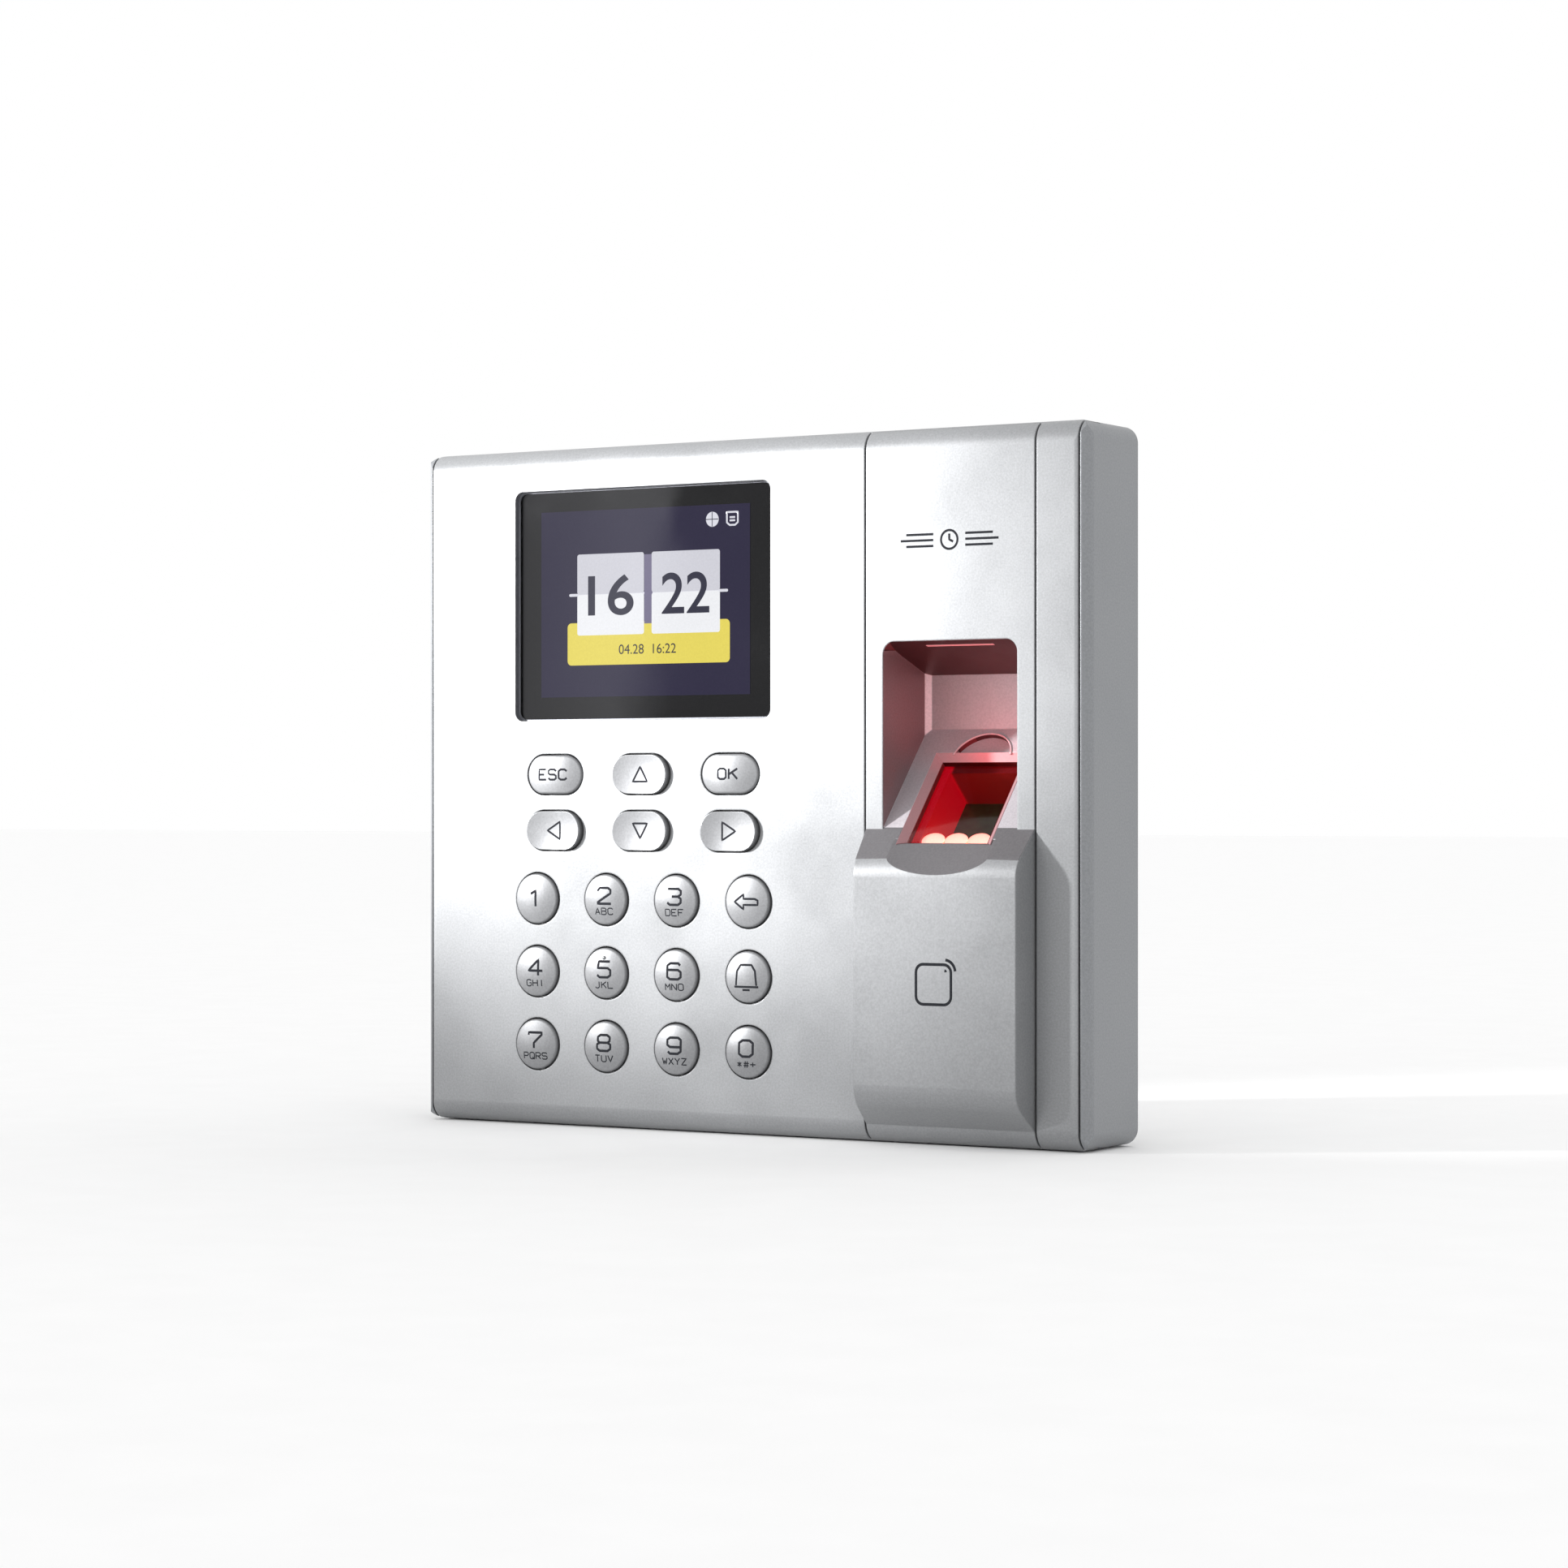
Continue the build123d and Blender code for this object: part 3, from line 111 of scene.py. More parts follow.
def maths(nodes, links, kind, first, second=0.0):
    """One step of arithmetic on two values, each a number or a socket."""
    node = nodes.new("ShaderNodeMath")
    node.operation = kind
    for socket, value in zip(node.inputs, (first, second)):
        if isinstance(value, float):
            socket.default_value = value
        else:
            links.new(value, socket)
    return node.outputs[0]


def finish(
    name,
    colour,
    rough=0.45,
    metal=0.0,
    grain=2500.0,
    swing=0.06,
    cloud=60.0,
    bump=0.1,
    coat=0.0,
    stretch=None,
    soften=0.0,
    glow=0.0,
    glow_colour=None,
):
    """A surface with grain in its colour, clouds in its gloss and a fine relief."""
    made = bpy.data.materials.new(name)
    made.use_nodes = True
    nodes, links = made.node_tree.nodes, made.node_tree.links
    shader = nodes["Principled BSDF"]
    where = nodes.new("ShaderNodeTexCoord").outputs["Object"]
    if stretch:
        where = wire(nodes, links, "ShaderNodeMapping", Vector=where, Scale=stretch).outputs[0]
    fine = noise(nodes, links, where, grain)
    broad = noise(nodes, links, where, cloud, BROAD_DETAIL)
    fine_part = spread(nodes, links, fine, 0.0, FINE_SHARE)
    broad_part = spread(nodes, links, broad, 0.0, BROAD_SHARE)
    both = maths(nodes, links, "ADD", fine_part, broad_part)
    dark = [max(0.0, c * (1 - swing)) for c in colour]
    light = [min(1.0, c * (1 + swing)) for c in colour]
    links.new(tinted(nodes, links, both, dark, light), shader.inputs["Base Color"])
    low, high = max(SMOOTHEST, rough - ROUGH_SWING), min(1.0, rough + ROUGH_SWING)
    links.new(spread(nodes, links, broad, low, high), shader.inputs["Roughness"])
    shader.inputs["Metallic"].default_value = metal
    shader.inputs["Coat Weight"].default_value = coat
    shader.inputs["Coat Roughness"].default_value = COAT_ROUGH
    relief = wire(nodes, links, "ShaderNodeBump", Strength=bump, Distance=RELIEF_DEPTH)
    links.new(noise(nodes, links, where, RELIEF_GRAIN), relief.inputs["Height"])
    if soften:
        edge = nodes.new("ShaderNodeBevel")
        edge.samples = 4
        edge.inputs["Radius"].default_value = soften
        links.new(edge.outputs["Normal"], relief.inputs["Normal"])
    links.new(relief.outputs["Normal"], shader.inputs["Normal"])
    if glow:
        shader.inputs["Emission Color"].default_value = (*(glow_colour or colour), 1)
        shader.inputs["Emission Strength"].default_value = glow
    return made


def sheet_glass(name, tint, rough, plain_below=0.0):
    """A thin clear sheet: light goes straight through, and its face mirrors at a slant."""
    made = finish(name, tint, rough=rough, swing=0.02, bump=0.01)
    nodes, links = made.node_tree.nodes, made.node_tree.links
    shader = nodes["Principled BSDF"]
    rough_link = shader.inputs["Roughness"].links[0].from_socket
    colour_link = shader.inputs["Base Color"].links[0].from_socket
    clear = wire(nodes, links, "ShaderNodeBsdfTransparent", Color=colour_link)
    mirror = wire(nodes, links, "ShaderNodeBsdfGlossy", Roughness=rough_link)
    slant = wire(nodes, links, "ShaderNodeFresnel", IOR=SHEET_IOR)
    share = wire(nodes, links, "ShaderNodeMapRange", Value=slant.outputs[0])
    share.inputs["From Min"].default_value = plain_below
    inner_side = nodes.new("ShaderNodeNewGeometry").outputs["Backfacing"]
    outer_side = maths(nodes, links, "SUBTRACT", 1.0, inner_side)
    mixed = nodes.new("ShaderNodeMixShader")
    links.new(maths(nodes, links, "MULTIPLY", share.outputs[0], outer_side), mixed.inputs[0])
    links.new(clear.outputs[0], mixed.inputs[1])
    links.new(mirror.outputs[0], mixed.inputs[2])
    links.new(mixed.outputs[0], nodes["Material Output"].inputs["Surface"])
    nodes.remove(shader)
    return made


SILVER = (0.265, 0.27, 0.278)
silver_grain = dict(rough=0.40, metal=0.4, grain=2600.0, swing=0.11, cloud=45.0, bump=0.14)
finishes = {
    "silver_paint": finish("silver_paint", SILVER, soften=0.00035, **silver_grain),
    "silver_column": finish("silver_column", SILVER, soften=0.00035, **silver_grain),
    "silver_housing": finish("silver_housing", (0.25, 0.258, 0.27), soften=0.0003, **silver_grain),
    "silver_keys": finish("silver_keys", (0.2, 0.203, 0.21), soften=0.0002, **silver_grain),
    "zinc_steel": finish(
        "zinc_steel", (0.62, 0.63, 0.65), rough=0.35, metal=1.0, grain=900, stretch=(1, 1, 18)
    ),
    "lens_black": sheet_glass("lens_black", (0.9, 0.9, 0.92), 0.02, plain_below=0.06),
    "foam": finish("foam", (0.02, 0.02, 0.022), rough=0.95, grain=3500, swing=0.5, bump=0.6),
    "lcd_glass": finish("lcd_glass", (0.05, 0.05, 0.07), rough=0.12, coat=0.6, bump=0.02),
    "white_film": finish("white_film", (0.85, 0.86, 0.88), rough=0.6),
    "tray_steel": finish("tray_steel", (0.6, 0.6, 0.62), rough=0.3, metal=1.0, stretch=(20, 1, 1)),
    "silicone": finish("silicone", (0.66, 0.67, 0.66), rough=0.7, bump=0.25),
    "green_board": finish(
        "green_board", (0.015, 0.12, 0.05), rough=0.3, coat=0.5, grain=700, swing=0.35
    ),
    "tin_plate": finish("tin_plate", (0.68, 0.68, 0.67), rough=0.28, metal=1.0, swing=0.04),
    "jack_shell": finish("jack_shell", (0.03, 0.03, 0.032), rough=0.4, bump=0.2),
    "black_plastic": finish("black_plastic", (0.025, 0.025, 0.027), rough=0.5, bump=0.3),
    "battery_wrap": finish("battery_wrap", (0.05, 0.16, 0.42), rough=0.22, coat=0.5),
    "lead_cover": finish("lead_cover", (0.03, 0.03, 0.032), rough=0.55, bump=0.2),
    "cell_steel": finish("cell_steel", (0.75, 0.75, 0.74), rough=0.2, metal=1.0),
    "speaker_black": finish("speaker_black", (0.03, 0.03, 0.03), rough=0.6, bump=0.3),
    "lamp_red": finish(
        "lamp_red", (1.0, 0.45, 0.3), rough=0.2, glow=9.0, glow_colour=(1.0, 0.22, 0.1)
    ),
    "ribbon_amber": finish("ribbon_amber", (0.5, 0.2, 0.03), rough=0.25, coat=0.5, stretch=(8, 1, 1)),
    "switch_grey": finish("switch_grey", (0.3, 0.3, 0.31), rough=0.5),
    "label_white": finish("label_white", (0.82, 0.82, 0.8), rough=0.6, grain=4000),
    "screw_steel": finish("screw_steel", (0.5, 0.5, 0.52), rough=0.3, metal=1.0, cloud=300),
}


# the stretch of the sensor's left inner wall that gets a painted red glow, measured from the glass's
# left edge
LIT_WALL_FROM, LIT_WALL_TO = 1.3 * MM, 1.9 * MM
LIT_WALL_RED, DIM_RED = (0.62, 0.0, 0.018), (0.03, 0.002, 0.003)
WELL_GLOW = 0.7


def sensor_cavity():
    """The sensor's inside: a painted red glow, bright on its left wall, dim on the rest."""
    made = finish("sensor_red", (0.12, 0.008, 0.012), rough=0.45)
    nodes, links = made.node_tree.nodes, made.node_tree.links
    shader = nodes["Principled BSDF"]
    glass_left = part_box("sensor_glass")[0][0]
    where = nodes["Texture Coordinate"].outputs["Object"]
    split = wire(nodes, links, "ShaderNodeSeparateXYZ", Vector=where)
    left = wire(nodes, links, "ShaderNodeMapRange", Value=split.outputs["X"])
    left.inputs["From Min"].default_value = glass_left + LIT_WALL_FROM
    left.inputs["From Max"].default_value = glass_left + LIT_WALL_TO
    # painted light: a red glow, bright on the left wall and dim elsewhere
    red = tinted(nodes, links, left.outputs[0], LIT_WALL_RED, DIM_RED)
    links.new(red, shader.inputs["Emission Color"])
    shader.inputs["Emission Strength"].default_value = WELL_GLOW
    return made


finishes["sensor_red"] = sensor_cavity()
finishes["red_glass"] = sheet_glass("red_glass", (0.86, 0.6, 0.6), 0.03)

# how far the recess reaches either side of its middle, behind the face, up and down
RECESS_HALF = 14.45 * MM
RECESS_SKIN = 0.25 * MM
RECESS_TOP, RECESS_FOOT = 27.3 * MM, -14 * MM
BED_TOP = 14 * MM
# the share of a surface's normal that tells which way it faces
ROOF_FACING, SIDE_FACING, CORNER_FACING, BED_FACING = -0.3, 0.9, 0.5, 0.6
# painted shade and painted red light: each colour multiplies the column's paint on one kind of
# surface
ROOF_PAINTED_RED_SHADE, LEFT_PAINTED_RED_LIGHT, CORNER_PAINTED_LIGHT = (0.2, 0.028, 0.032), (0.9, 0.55, 0.56), (2.6, 2.0, 2.0)
WALL_PAINTED_RED_LIGHT, BED_PAINTED_SHADE, DEEP_PAINTED_LIGHT = (1.65, 1.45, 1.47), (0.52, 0.49, 0.5), (1.9, 1.75, 1.8)


def paint_recess_shade_and_light(made):
    """The column's paint with painted shade and painted red light: dimmer, redder or brighter on the
    surfaces that turn in to the recess, and dimmer on low upward faces outside it.
    """
    nodes, links = made.node_tree.nodes, made.node_tree.links
    low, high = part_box("sensor_glass")
    middle = (low[0] + high[0]) / 2
    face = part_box("display_lens")[0][1]
    place = nodes["Texture Coordinate"].outputs["Object"]
    normal = nodes.new("ShaderNodeNewGeometry").outputs["True Normal"]
    place = wire(nodes, links, "ShaderNodeSeparateXYZ", Vector=place)
    normal = wire(nodes, links, "ShaderNodeSeparateXYZ", Vector=normal)
    x, y, z = (place.outputs[axis] for axis in "XYZ")
    across, outward, upward = (normal.outputs[axis] for axis in "XYZ")

    def above(value, limit):
        return maths(nodes, links, "GREATER_THAN", value, limit)

    def below(value, limit):
        return maths(nodes, links, "LESS_THAN", value, limit)

    def both(first, second):
        return maths(nodes, links, "MULTIPLY", first, second)

    def without(first, second):
        return maths(nodes, links, "SUBTRACT", first, second)

    off_middle = maths(nodes, links, "ABSOLUTE", without(x, middle))
    inside = both(below(off_middle, RECESS_HALF), above(y, face + RECESS_SKIN))
    inside = both(both(inside, below(z, RECESS_TOP)), above(z, RECESS_FOOT))
    roof = both(inside, below(upward, ROOF_FACING))
    left = both(inside, above(across, SIDE_FACING))
    corner = without(both(inside, above(across, CORNER_FACING)), left)
    wall = both(inside, below(outward, -SIDE_FACING))
    any_bed = both(above(upward, BED_FACING), below(z, BED_TOP))
    deep = both(any_bed, inside)
    bed = without(any_bed, deep)
    base = nodes["Principled BSDF"].inputs["Base Color"]
    colour = base.links[0].from_socket
    # each mask multiplies the paint by its painted shade or painted light
    for mask, tint in (
        (roof, ROOF_PAINTED_RED_SHADE),
        (left, LEFT_PAINTED_RED_LIGHT),
        (corner, CORNER_PAINTED_LIGHT),
        (wall, WALL_PAINTED_RED_LIGHT),
        (bed, BED_PAINTED_SHADE),
        (deep, DEEP_PAINTED_LIGHT),
    ):
        dim = nodes.new("ShaderNodeMix")
        dim.data_type = "RGBA"
        dim.blend_type = "MULTIPLY"
        links.new(mask, dim.inputs[0])
        links.new(colour, dim.inputs[6])
        dim.inputs[7].default_value = (*tint, 1)
        colour = dim.outputs[2]
    links.new(colour, base)


paint_recess_shade_and_light(finishes["silver_column"])
node_slot = {part["node"]: part["material_slot"] for part in frame["record"]["subparts"]}
for node_name, node in frame["nodes"].items():
    chosen = finishes[node_slot[node_name]]
    for slot in node.material_slots:
        slot.material = chosen

ink = finish("legend_ink", (0.022, 0.023, 0.027), rough=0.9, grain=5000, swing=0.25, bump=0.05)
ink.node_tree.nodes["Principled BSDF"].inputs["Specular IOR Level"].default_value = 0.05

SCREEN_GLOSS = 0.22
SCREEN_ROUGH = 0.03


def lit(name, colour):
    """A screen colour that glows by itself under a glossy face."""
    made = finish(name, colour, rough=SCREEN_ROUGH, swing=0.03, bump=0.0, glow=1.0)
    nodes = made.node_tree.nodes
    shader = nodes["Principled BSDF"]
    shade = shader.inputs["Base Color"].links[0].from_socket
    made.node_tree.links.new(shade, shader.inputs["Emission Color"])
    made.node_tree.links.remove(shader.inputs["Base Color"].links[0])
    shader.inputs["Base Color"].default_value = (0.002, 0.002, 0.002, 1)
    shader.inputs["Specular IOR Level"].default_value = SCREEN_GLOSS
    return made


screen_border = finish("screen_border", (0.005, 0.005, 0.005), rough=SCREEN_ROUGH, bump=0.0)
border_shader = screen_border.node_tree.nodes["Principled BSDF"]
border_shader.inputs["Specular IOR Level"].default_value = SCREEN_GLOSS


# ---------------------------------------------------------------- making pieces
LAYER_THICK = 0.02 * MM
CORNER_STEPS = 6
STROKE_STEP = 0.35 * MM
# print stands this proud of its surface, and its middle line lies a share of that out
PRINT_PROUD = 0.03 * MM
PRINT_LIFT = 0.2


def settle(name, shape, material, body=TERMINAL, smooth=False):
    """A finished bmesh made into a named piece that rides on a body."""
    mesh = bpy.data.meshes.new(name)
    bmesh.ops.recalc_face_normals(shape, faces=shape.faces)
    shape.to_mesh(mesh)
    shape.free()
    mesh.materials.append(material)
    for face in mesh.polygons:
        face.use_smooth = smooth
    piece = bpy.data.objects.new(name, mesh)
    bpy.context.scene.collection.objects.link(piece)
    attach(piece, body)


def plate(name, width, height, x, y, z, material, corner=0.0):
    """A thin upright plate facing the user, its corners rounded, centred on x and z."""
    shape = bmesh.new()
    bmesh.ops.create_grid(shape, x_segments=1, y_segments=1, size=0.5)
    bmesh.ops.scale(shape, vec=(width, height, 1), verts=shape.verts)
    if corner:
        bmesh.ops.bevel(
            shape,
            geom=shape.verts[:],
            offset=corner,
            segments=CORNER_STEPS,
            profile=0.5,
            affect="VERTICES",
            material=-1,
        )
    grown = bmesh.ops.extrude_face_region(shape, geom=shape.faces[:])
    lifted = [part for part in grown["geom"] if isinstance(part, bmesh.types.BMVert)]
    bmesh.ops.translate(shape, vec=(0, 0, LAYER_THICK), verts=lifted)
    place = Matrix.Translation((x, y + LAYER_THICK, z)) @ Matrix.Rotation(pi / 2, 4, "X")
    bmesh.ops.transform(shape, matrix=place, verts=shape.verts)
    settle(name, shape, material)


def disc(name, radius, x, y, z, material):
    """A thin round plate facing the user."""
    shape = bmesh.new()
    bmesh.ops.create_cone(
        shape, cap_ends=True, segments=32, radius1=radius, radius2=radius, depth=LAYER_THICK
    )
    place = Matrix.Translation((x, y + LAYER_THICK / 2, z)) @ Matrix.Rotation(pi / 2, 4, "X")
    bmesh.ops.transform(shape, matrix=place, verts=shape.verts)
    settle(name, shape, material)


def stepped(run):
    """The same run with points close enough together to follow a curved surface."""
    points = [run[0]]
    for (x0, z0), (x1, z1) in zip(run, run[1:]):
        count = max(1, round(sqrt((x1 - x0) ** 2 + (z1 - z0) ** 2) / STROKE_STEP))
        for part in range(1, count + 1):
            share = part / count
            points.append((x0 + (x1 - x0) * share, z0 + (z1 - z0) * share))
    if run[0] == run[-1]:
        points[-1] = points[0]
    return points


def round_line_curve(name, radius, steps):
    """An empty curve whose lines come out round, with closed ends."""
    curve = bpy.data.curves.new(name, "CURVE")
    curve.dimensions = "3D"
    curve.bevel_depth = radius
    curve.bevel_resolution = steps
    curve.use_fill_caps = True
    return curve


def add_line(curve, places, closed=False):
    """One line of a curve through these places."""
    line = curve.splines.new("POLY")
    line.points.add(len(places) - 1)
    line.use_cyclic_u = closed
    for point, place in zip(line.points, places):
        point.co = (*place, 1)


def curve_shape(curve):
    """The surface of a curve or a text as a bmesh."""
    holder = bpy.data.objects.new(curve.name, curve)
    bpy.context.scene.collection.objects.link(holder)
    bpy.context.view_layer.update()
    mesh = bpy.data.meshes.new_from_object(holder)
    bpy.data.objects.remove(holder)
    shape = bmesh.new()
    shape.from_mesh(mesh)
    return shape


def printed(name, lines, weight, surface, material, body=TERMINAL):
    """Printed strokes laid on a surface: lines are runs of (x, z) points in metres."""
    # strokes are made one unit thick, so that one merge distance suits every weight
    curve = round_line_curve(name + "_strokes", 0.5, 1)
    scale = 1.0 / weight
    for run in map(stepped, lines):
        closed = len(run) > 2 and run[0] == run[-1]
        points = run[:-1] if closed else run
        add_line(curve, [(x * scale, z * scale, 0) for x, z in points], closed)
    shape = curve_shape(curve)
    bmesh.ops.remove_doubles(shape, verts=shape.verts, dist=1e-4)
    for vertex in shape.verts:
        x, z, lift = vertex.co.x * weight, vertex.co.y * weight, vertex.co.z
        vertex.co = (x, surface(x, z) - PRINT_PROUD * (PRINT_LIFT + lift), z)
    settle(name, shape, material, body)


# ---------------------------------------------------------------- lettering
GLYPH_WIDE, GLYPH_HIGH = 4, 6
LETTER_GAP = 0.35
# each sign is drawn on a field of that width and height
GLYPHS = {
    "0": [[(0, 1), (0, 5), (1, 6), (3, 6), (4, 5), (4, 1), (3, 0), (1, 0), (0, 1)]],
    "1": [[(0.7, 4.8), (2.2, 6), (2.2, 0)]],
    "2": [[(0, 4.8), (0.8, 6), (3.2, 6), (4, 5.2), (4, 3.9), (0.2, 0.5), (0.2, 0), (4.2, 0)]],
    "3": [
        [(0.1, 6), (3.2, 6), (4, 5.2), (4, 3.9), (3.2, 3.1), (1.4, 3.1)],
        [(3.2, 3.1), (4, 2.3), (4, 0.8), (3.2, 0), (0.8, 0), (0, 0.8)],
    ],
    "4": [[(3, 0), (3, 6), (0, 1.8), (4.3, 1.8)]],
    "5": [
        [(3.8, 6), (0.5, 6), (0.2, 3.5), (3.2, 3.5), (4, 2.7), (4, 0.8), (3.2, 0), (0.8, 0)]
        + [(0, 0.8)]
    ],
    "6": [
        [(3.8, 5.2), (3.2, 6), (0.9, 6), (0, 5.1), (0, 0.8), (0.8, 0), (3.2, 0), (4, 0.8)]
        + [(4, 2.7), (3.2, 3.5), (0, 3.5)]
    ],
    "7": [[(0, 5), (0, 6), (4, 6), (4, 5.2), (1.7, 2), (1.7, 0)]],
    "8": [
        [(0.8, 3.1), (0.2, 3.8), (0.2, 5.2), (1, 6), (3, 6), (3.8, 5.2), (3.8, 3.8), (3.2, 3.1)]
        + [(0.8, 3.1)],
        [(0.8, 3.1), (0, 2.4), (0, 0.8), (0.8, 0), (3.2, 0), (4, 0.8), (4, 2.4), (3.2, 3.1)],
    ],
    "9": [
        [(0.2, 0.8), (0.8, 0), (3.1, 0), (4, 0.9), (4, 5.2), (3.2, 6), (0.8, 6), (0, 5.2)]
        + [(0, 3.3), (0.8, 2.5), (4, 2.5)]
    ],
    "A": [[(0, 0), (2, 6), (4, 0)], [(0.8, 2), (3.2, 2)]],
    "B": [
        [(0, 3.2), (0, 6), (3, 6), (4, 5), (4, 4.2), (3, 3.2), (0, 3.2)],
        [(0, 3.2), (0, 0), (3, 0), (4, 1), (4, 2.2), (3, 3.2)],
    ],
    "C": [[(4, 5), (3, 6), (1, 6), (0, 5), (0, 1), (1, 0), (3, 0), (4, 1)]],
    "D": [[(0, 0), (0, 6), (3, 6), (4, 5), (4, 1), (3, 0), (0, 0)]],
    "E": [[(4, 6), (0, 6), (0, 0), (4, 0)], [(0, 3), (3, 3)]],
    "F": [[(4, 6), (0, 6), (0, 0)], [(0, 3), (3, 3)]],
    "G": [[(4, 5), (3, 6), (1, 6), (0, 5), (0, 1), (1, 0), (3, 0), (4, 1), (4, 3), (2.4, 3)]],
    "H": [[(0, 0), (0, 6)], [(4, 0), (4, 6)], [(0, 3), (4, 3)]],
    "I": [[(2, 0), (2, 6)]],
    "J": [[(3.4, 6), (3.4, 1), (2.4, 0), (1, 0), (0, 1)]],
    "K": [[(0, 0), (0, 6)], [(4, 6), (0.2, 2.8)], [(1.4, 3.8), (4, 0)]],
    "L": [[(0, 6), (0, 0), (4, 0)]],
    "M": [[(0, 0), (0, 6), (2, 2.6), (4, 6), (4, 0)]],
    "N": [[(0, 0), (0, 6), (4, 0), (4, 6)]],
    "O": [[(0, 1), (0, 5), (1, 6), (3, 6), (4, 5), (4, 1), (3, 0), (1, 0), (0, 1)]],
    "P": [[(0, 0), (0, 6), (3, 6), (4, 5), (4, 3.8), (3, 2.8), (0, 2.8)]],
    "Q": [
        [(0, 1), (0, 5), (1, 6), (3, 6), (4, 5), (4, 1), (3, 0), (1, 0), (0, 1)],
        [(2.4, 1.6), (4.2, -0.4)],
    ],
    "R": [[(0, 0), (0, 6), (3, 6), (4, 5), (4, 3.8), (3, 2.8), (0, 2.8)], [(2, 2.8), (4, 0)]],
    "S": [
        [(4, 5), (3.2, 6), (0.8, 6), (0, 5.2), (0, 3.8), (0.8, 3), (3.2, 3), (4, 2.2), (4, 0.8)]
        + [(3.2, 0), (0.8, 0), (0, 1)]
    ],
    "T": [[(0, 6), (4, 6)], [(2, 6), (2, 0)]],
    "U": [[(0, 6), (0, 1), (1, 0), (3, 0), (4, 1), (4, 6)]],
    "V": [[(0, 6), (2, 0), (4, 6)]],
    "W": [[(0, 6), (1, 0), (2, 4), (3, 0), (4, 6)]],
    "X": [[(0, 0), (4, 6)], [(0, 6), (4, 0)]],
    "Y": [[(0, 6), (2, 3), (4, 6)], [(2, 3), (2, 0)]],
    "Z": [[(0, 6), (4, 6), (0, 0), (4, 0)]],
    "*": [[(0.4, 1.5), (3.6, 4.5)], [(0.4, 4.5), (3.6, 1.5)], [(2, 0.8), (2, 5.2)]],
    "#": [[(1, 0), (1.6, 6)], [(2.6, 0), (3.2, 6)], [(0, 2), (4, 2)], [(0.3, 4), (4.3, 4)]],
    "+": [[(0, 3), (4, 3)], [(2, 1), (2, 5)]],
}


def lettered(text, width, height, x, z):
    """Runs of points for a word, centred on x and z, in a field of this whole size."""
    count = len(text)
    cell = width / (count + LETTER_GAP * (count - 1))
    runs = []
    for place, sign in enumerate(text):
        left = x - width / 2 + place * cell * (1 + LETTER_GAP)
        for line in GLYPHS[sign]:
            runs.append(
                [
                    (left + u / GLYPH_WIDE * cell, z + (v / GLYPH_HIGH - 0.5) * height)
                    for u, v in line
                ]
            )
    return runs


def drawn(points, width, height, x, z):
    """Runs given on a field from -1 to 1 each way, scaled to a size and centred."""
    return [[(x + u * width / 2, z + v * height / 2) for u, v in run] for run in points]


TRIANGLE_UP = [[(-1, -1), (0, 1), (1, -1), (-1, -1)]]
TRIANGLE_DOWN = [[(-1, 1), (1, 1), (0, -1), (-1, 1)]]
TRIANGLE_LEFT = [[(-1, 0), (1, 1), (1, -1), (-1, 0)]]
TRIANGLE_RIGHT = [[(1, 0), (-1, -1), (-1, 1), (1, 0)]]
ARROW = [
    [(-1, 0), (-0.2, 1), (-0.2, 0.4), (0.75, 0.4), (1, 0.2), (1, -0.4), (-0.2, -0.4)]
    + [(-0.2, -1), (-1, 0)]
]
BELL = [
    [(-0.85, -0.62), (-0.75, 0.45), (-0.45, 0.9), (0.45, 0.9), (0.75, 0.45), (0.85, -0.62)],
    [(-1, -0.72), (1, -0.72)],
    [(-0.3, -0.95), (0.3, -0.95)],
]

# radius of the domed keys' crowns; radius and depth of the arrow keys' dishes
KEY_CURVE = 22 * MM
DISH_CURVE = 34 * MM
DISH_DEPTH = 0.6 * MM
DISH_CLEAR = 0.04 * MM
DIGIT_SIZE, DIGIT_LIFT, DIGIT_WEIGHT = 3.1 * MM, 0.75 * MM, 0.5 * MM
LETTERS_HIGH, LETTERS_DROP, LETTERS_WEIGHT = 1.25 * MM, 2.3 * MM, 0.24 * MM
LETTER_WIDE = 1.375 * MM
WORD_HIGH, SIGN_WEIGHT, TRIANGLE_WEIGHT = 2.0 * MM, 0.42 * MM, 0.4 * MM
DOT_RADIUS, DOT_LIFT = 0.4 * MM, 3.0 * MM
words = {"2": "ABC", "3": "DEF", "4": "GHI", "5": "JKL", "6": "MNO", "7": "PQRS"}
words.update({"8": "TUV", "9": "WXYZ", "0": "*#+"})


def key_face(name, dished=False):
    """The middle of a key's top and a function that gives the top's Y over X and Z."""
    low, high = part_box(name)
    x0, z0, top = (low[0] + high[0]) / 2, (low[2] + high[2]) / 2, low[1]

    def drop(x, z, curve):
        return curve - sqrt(curve**2 - (x - x0) ** 2 - (z - z0) ** 2)

    def surface(x, z):
        if dished:
            return top + DISH_DEPTH - DISH_CLEAR - drop(x, z, DISH_CURVE)
        return top + drop(x, z, KEY_CURVE)

    return x0, z0, surface


for digit in "1234567890":
    name = "key_" + digit
    x0, z0, surface = key_face(name)
    lift = DIGIT_LIFT if digit in words else 0.0
    strokes = lettered(digit, DIGIT_SIZE, DIGIT_SIZE, x0, z0 + lift)
    printed("legend_" + digit, strokes, DIGIT_WEIGHT, surface, ink, name + "_cap")
    if digit in words:
        width = LETTER_WIDE * len(words[digit])
        strokes = lettered(words[digit], width, LETTERS_HIGH, x0, z0 - LETTERS_DROP)
        printed("letters_" + digit, strokes, LETTERS_WEIGHT, surface, ink, name + "_cap")
for name, text, width in (("key_esc", "ESC", 6.6 * MM), ("key_ok", "OK", 4.4 * MM)):
    x0, z0, surface = key_face(name)
    strokes = lettered(text, width, WORD_HIGH, x0, z0)
    printed("legend_" + name[4:], strokes, SIGN_WEIGHT, surface, ink, name + "_cap")
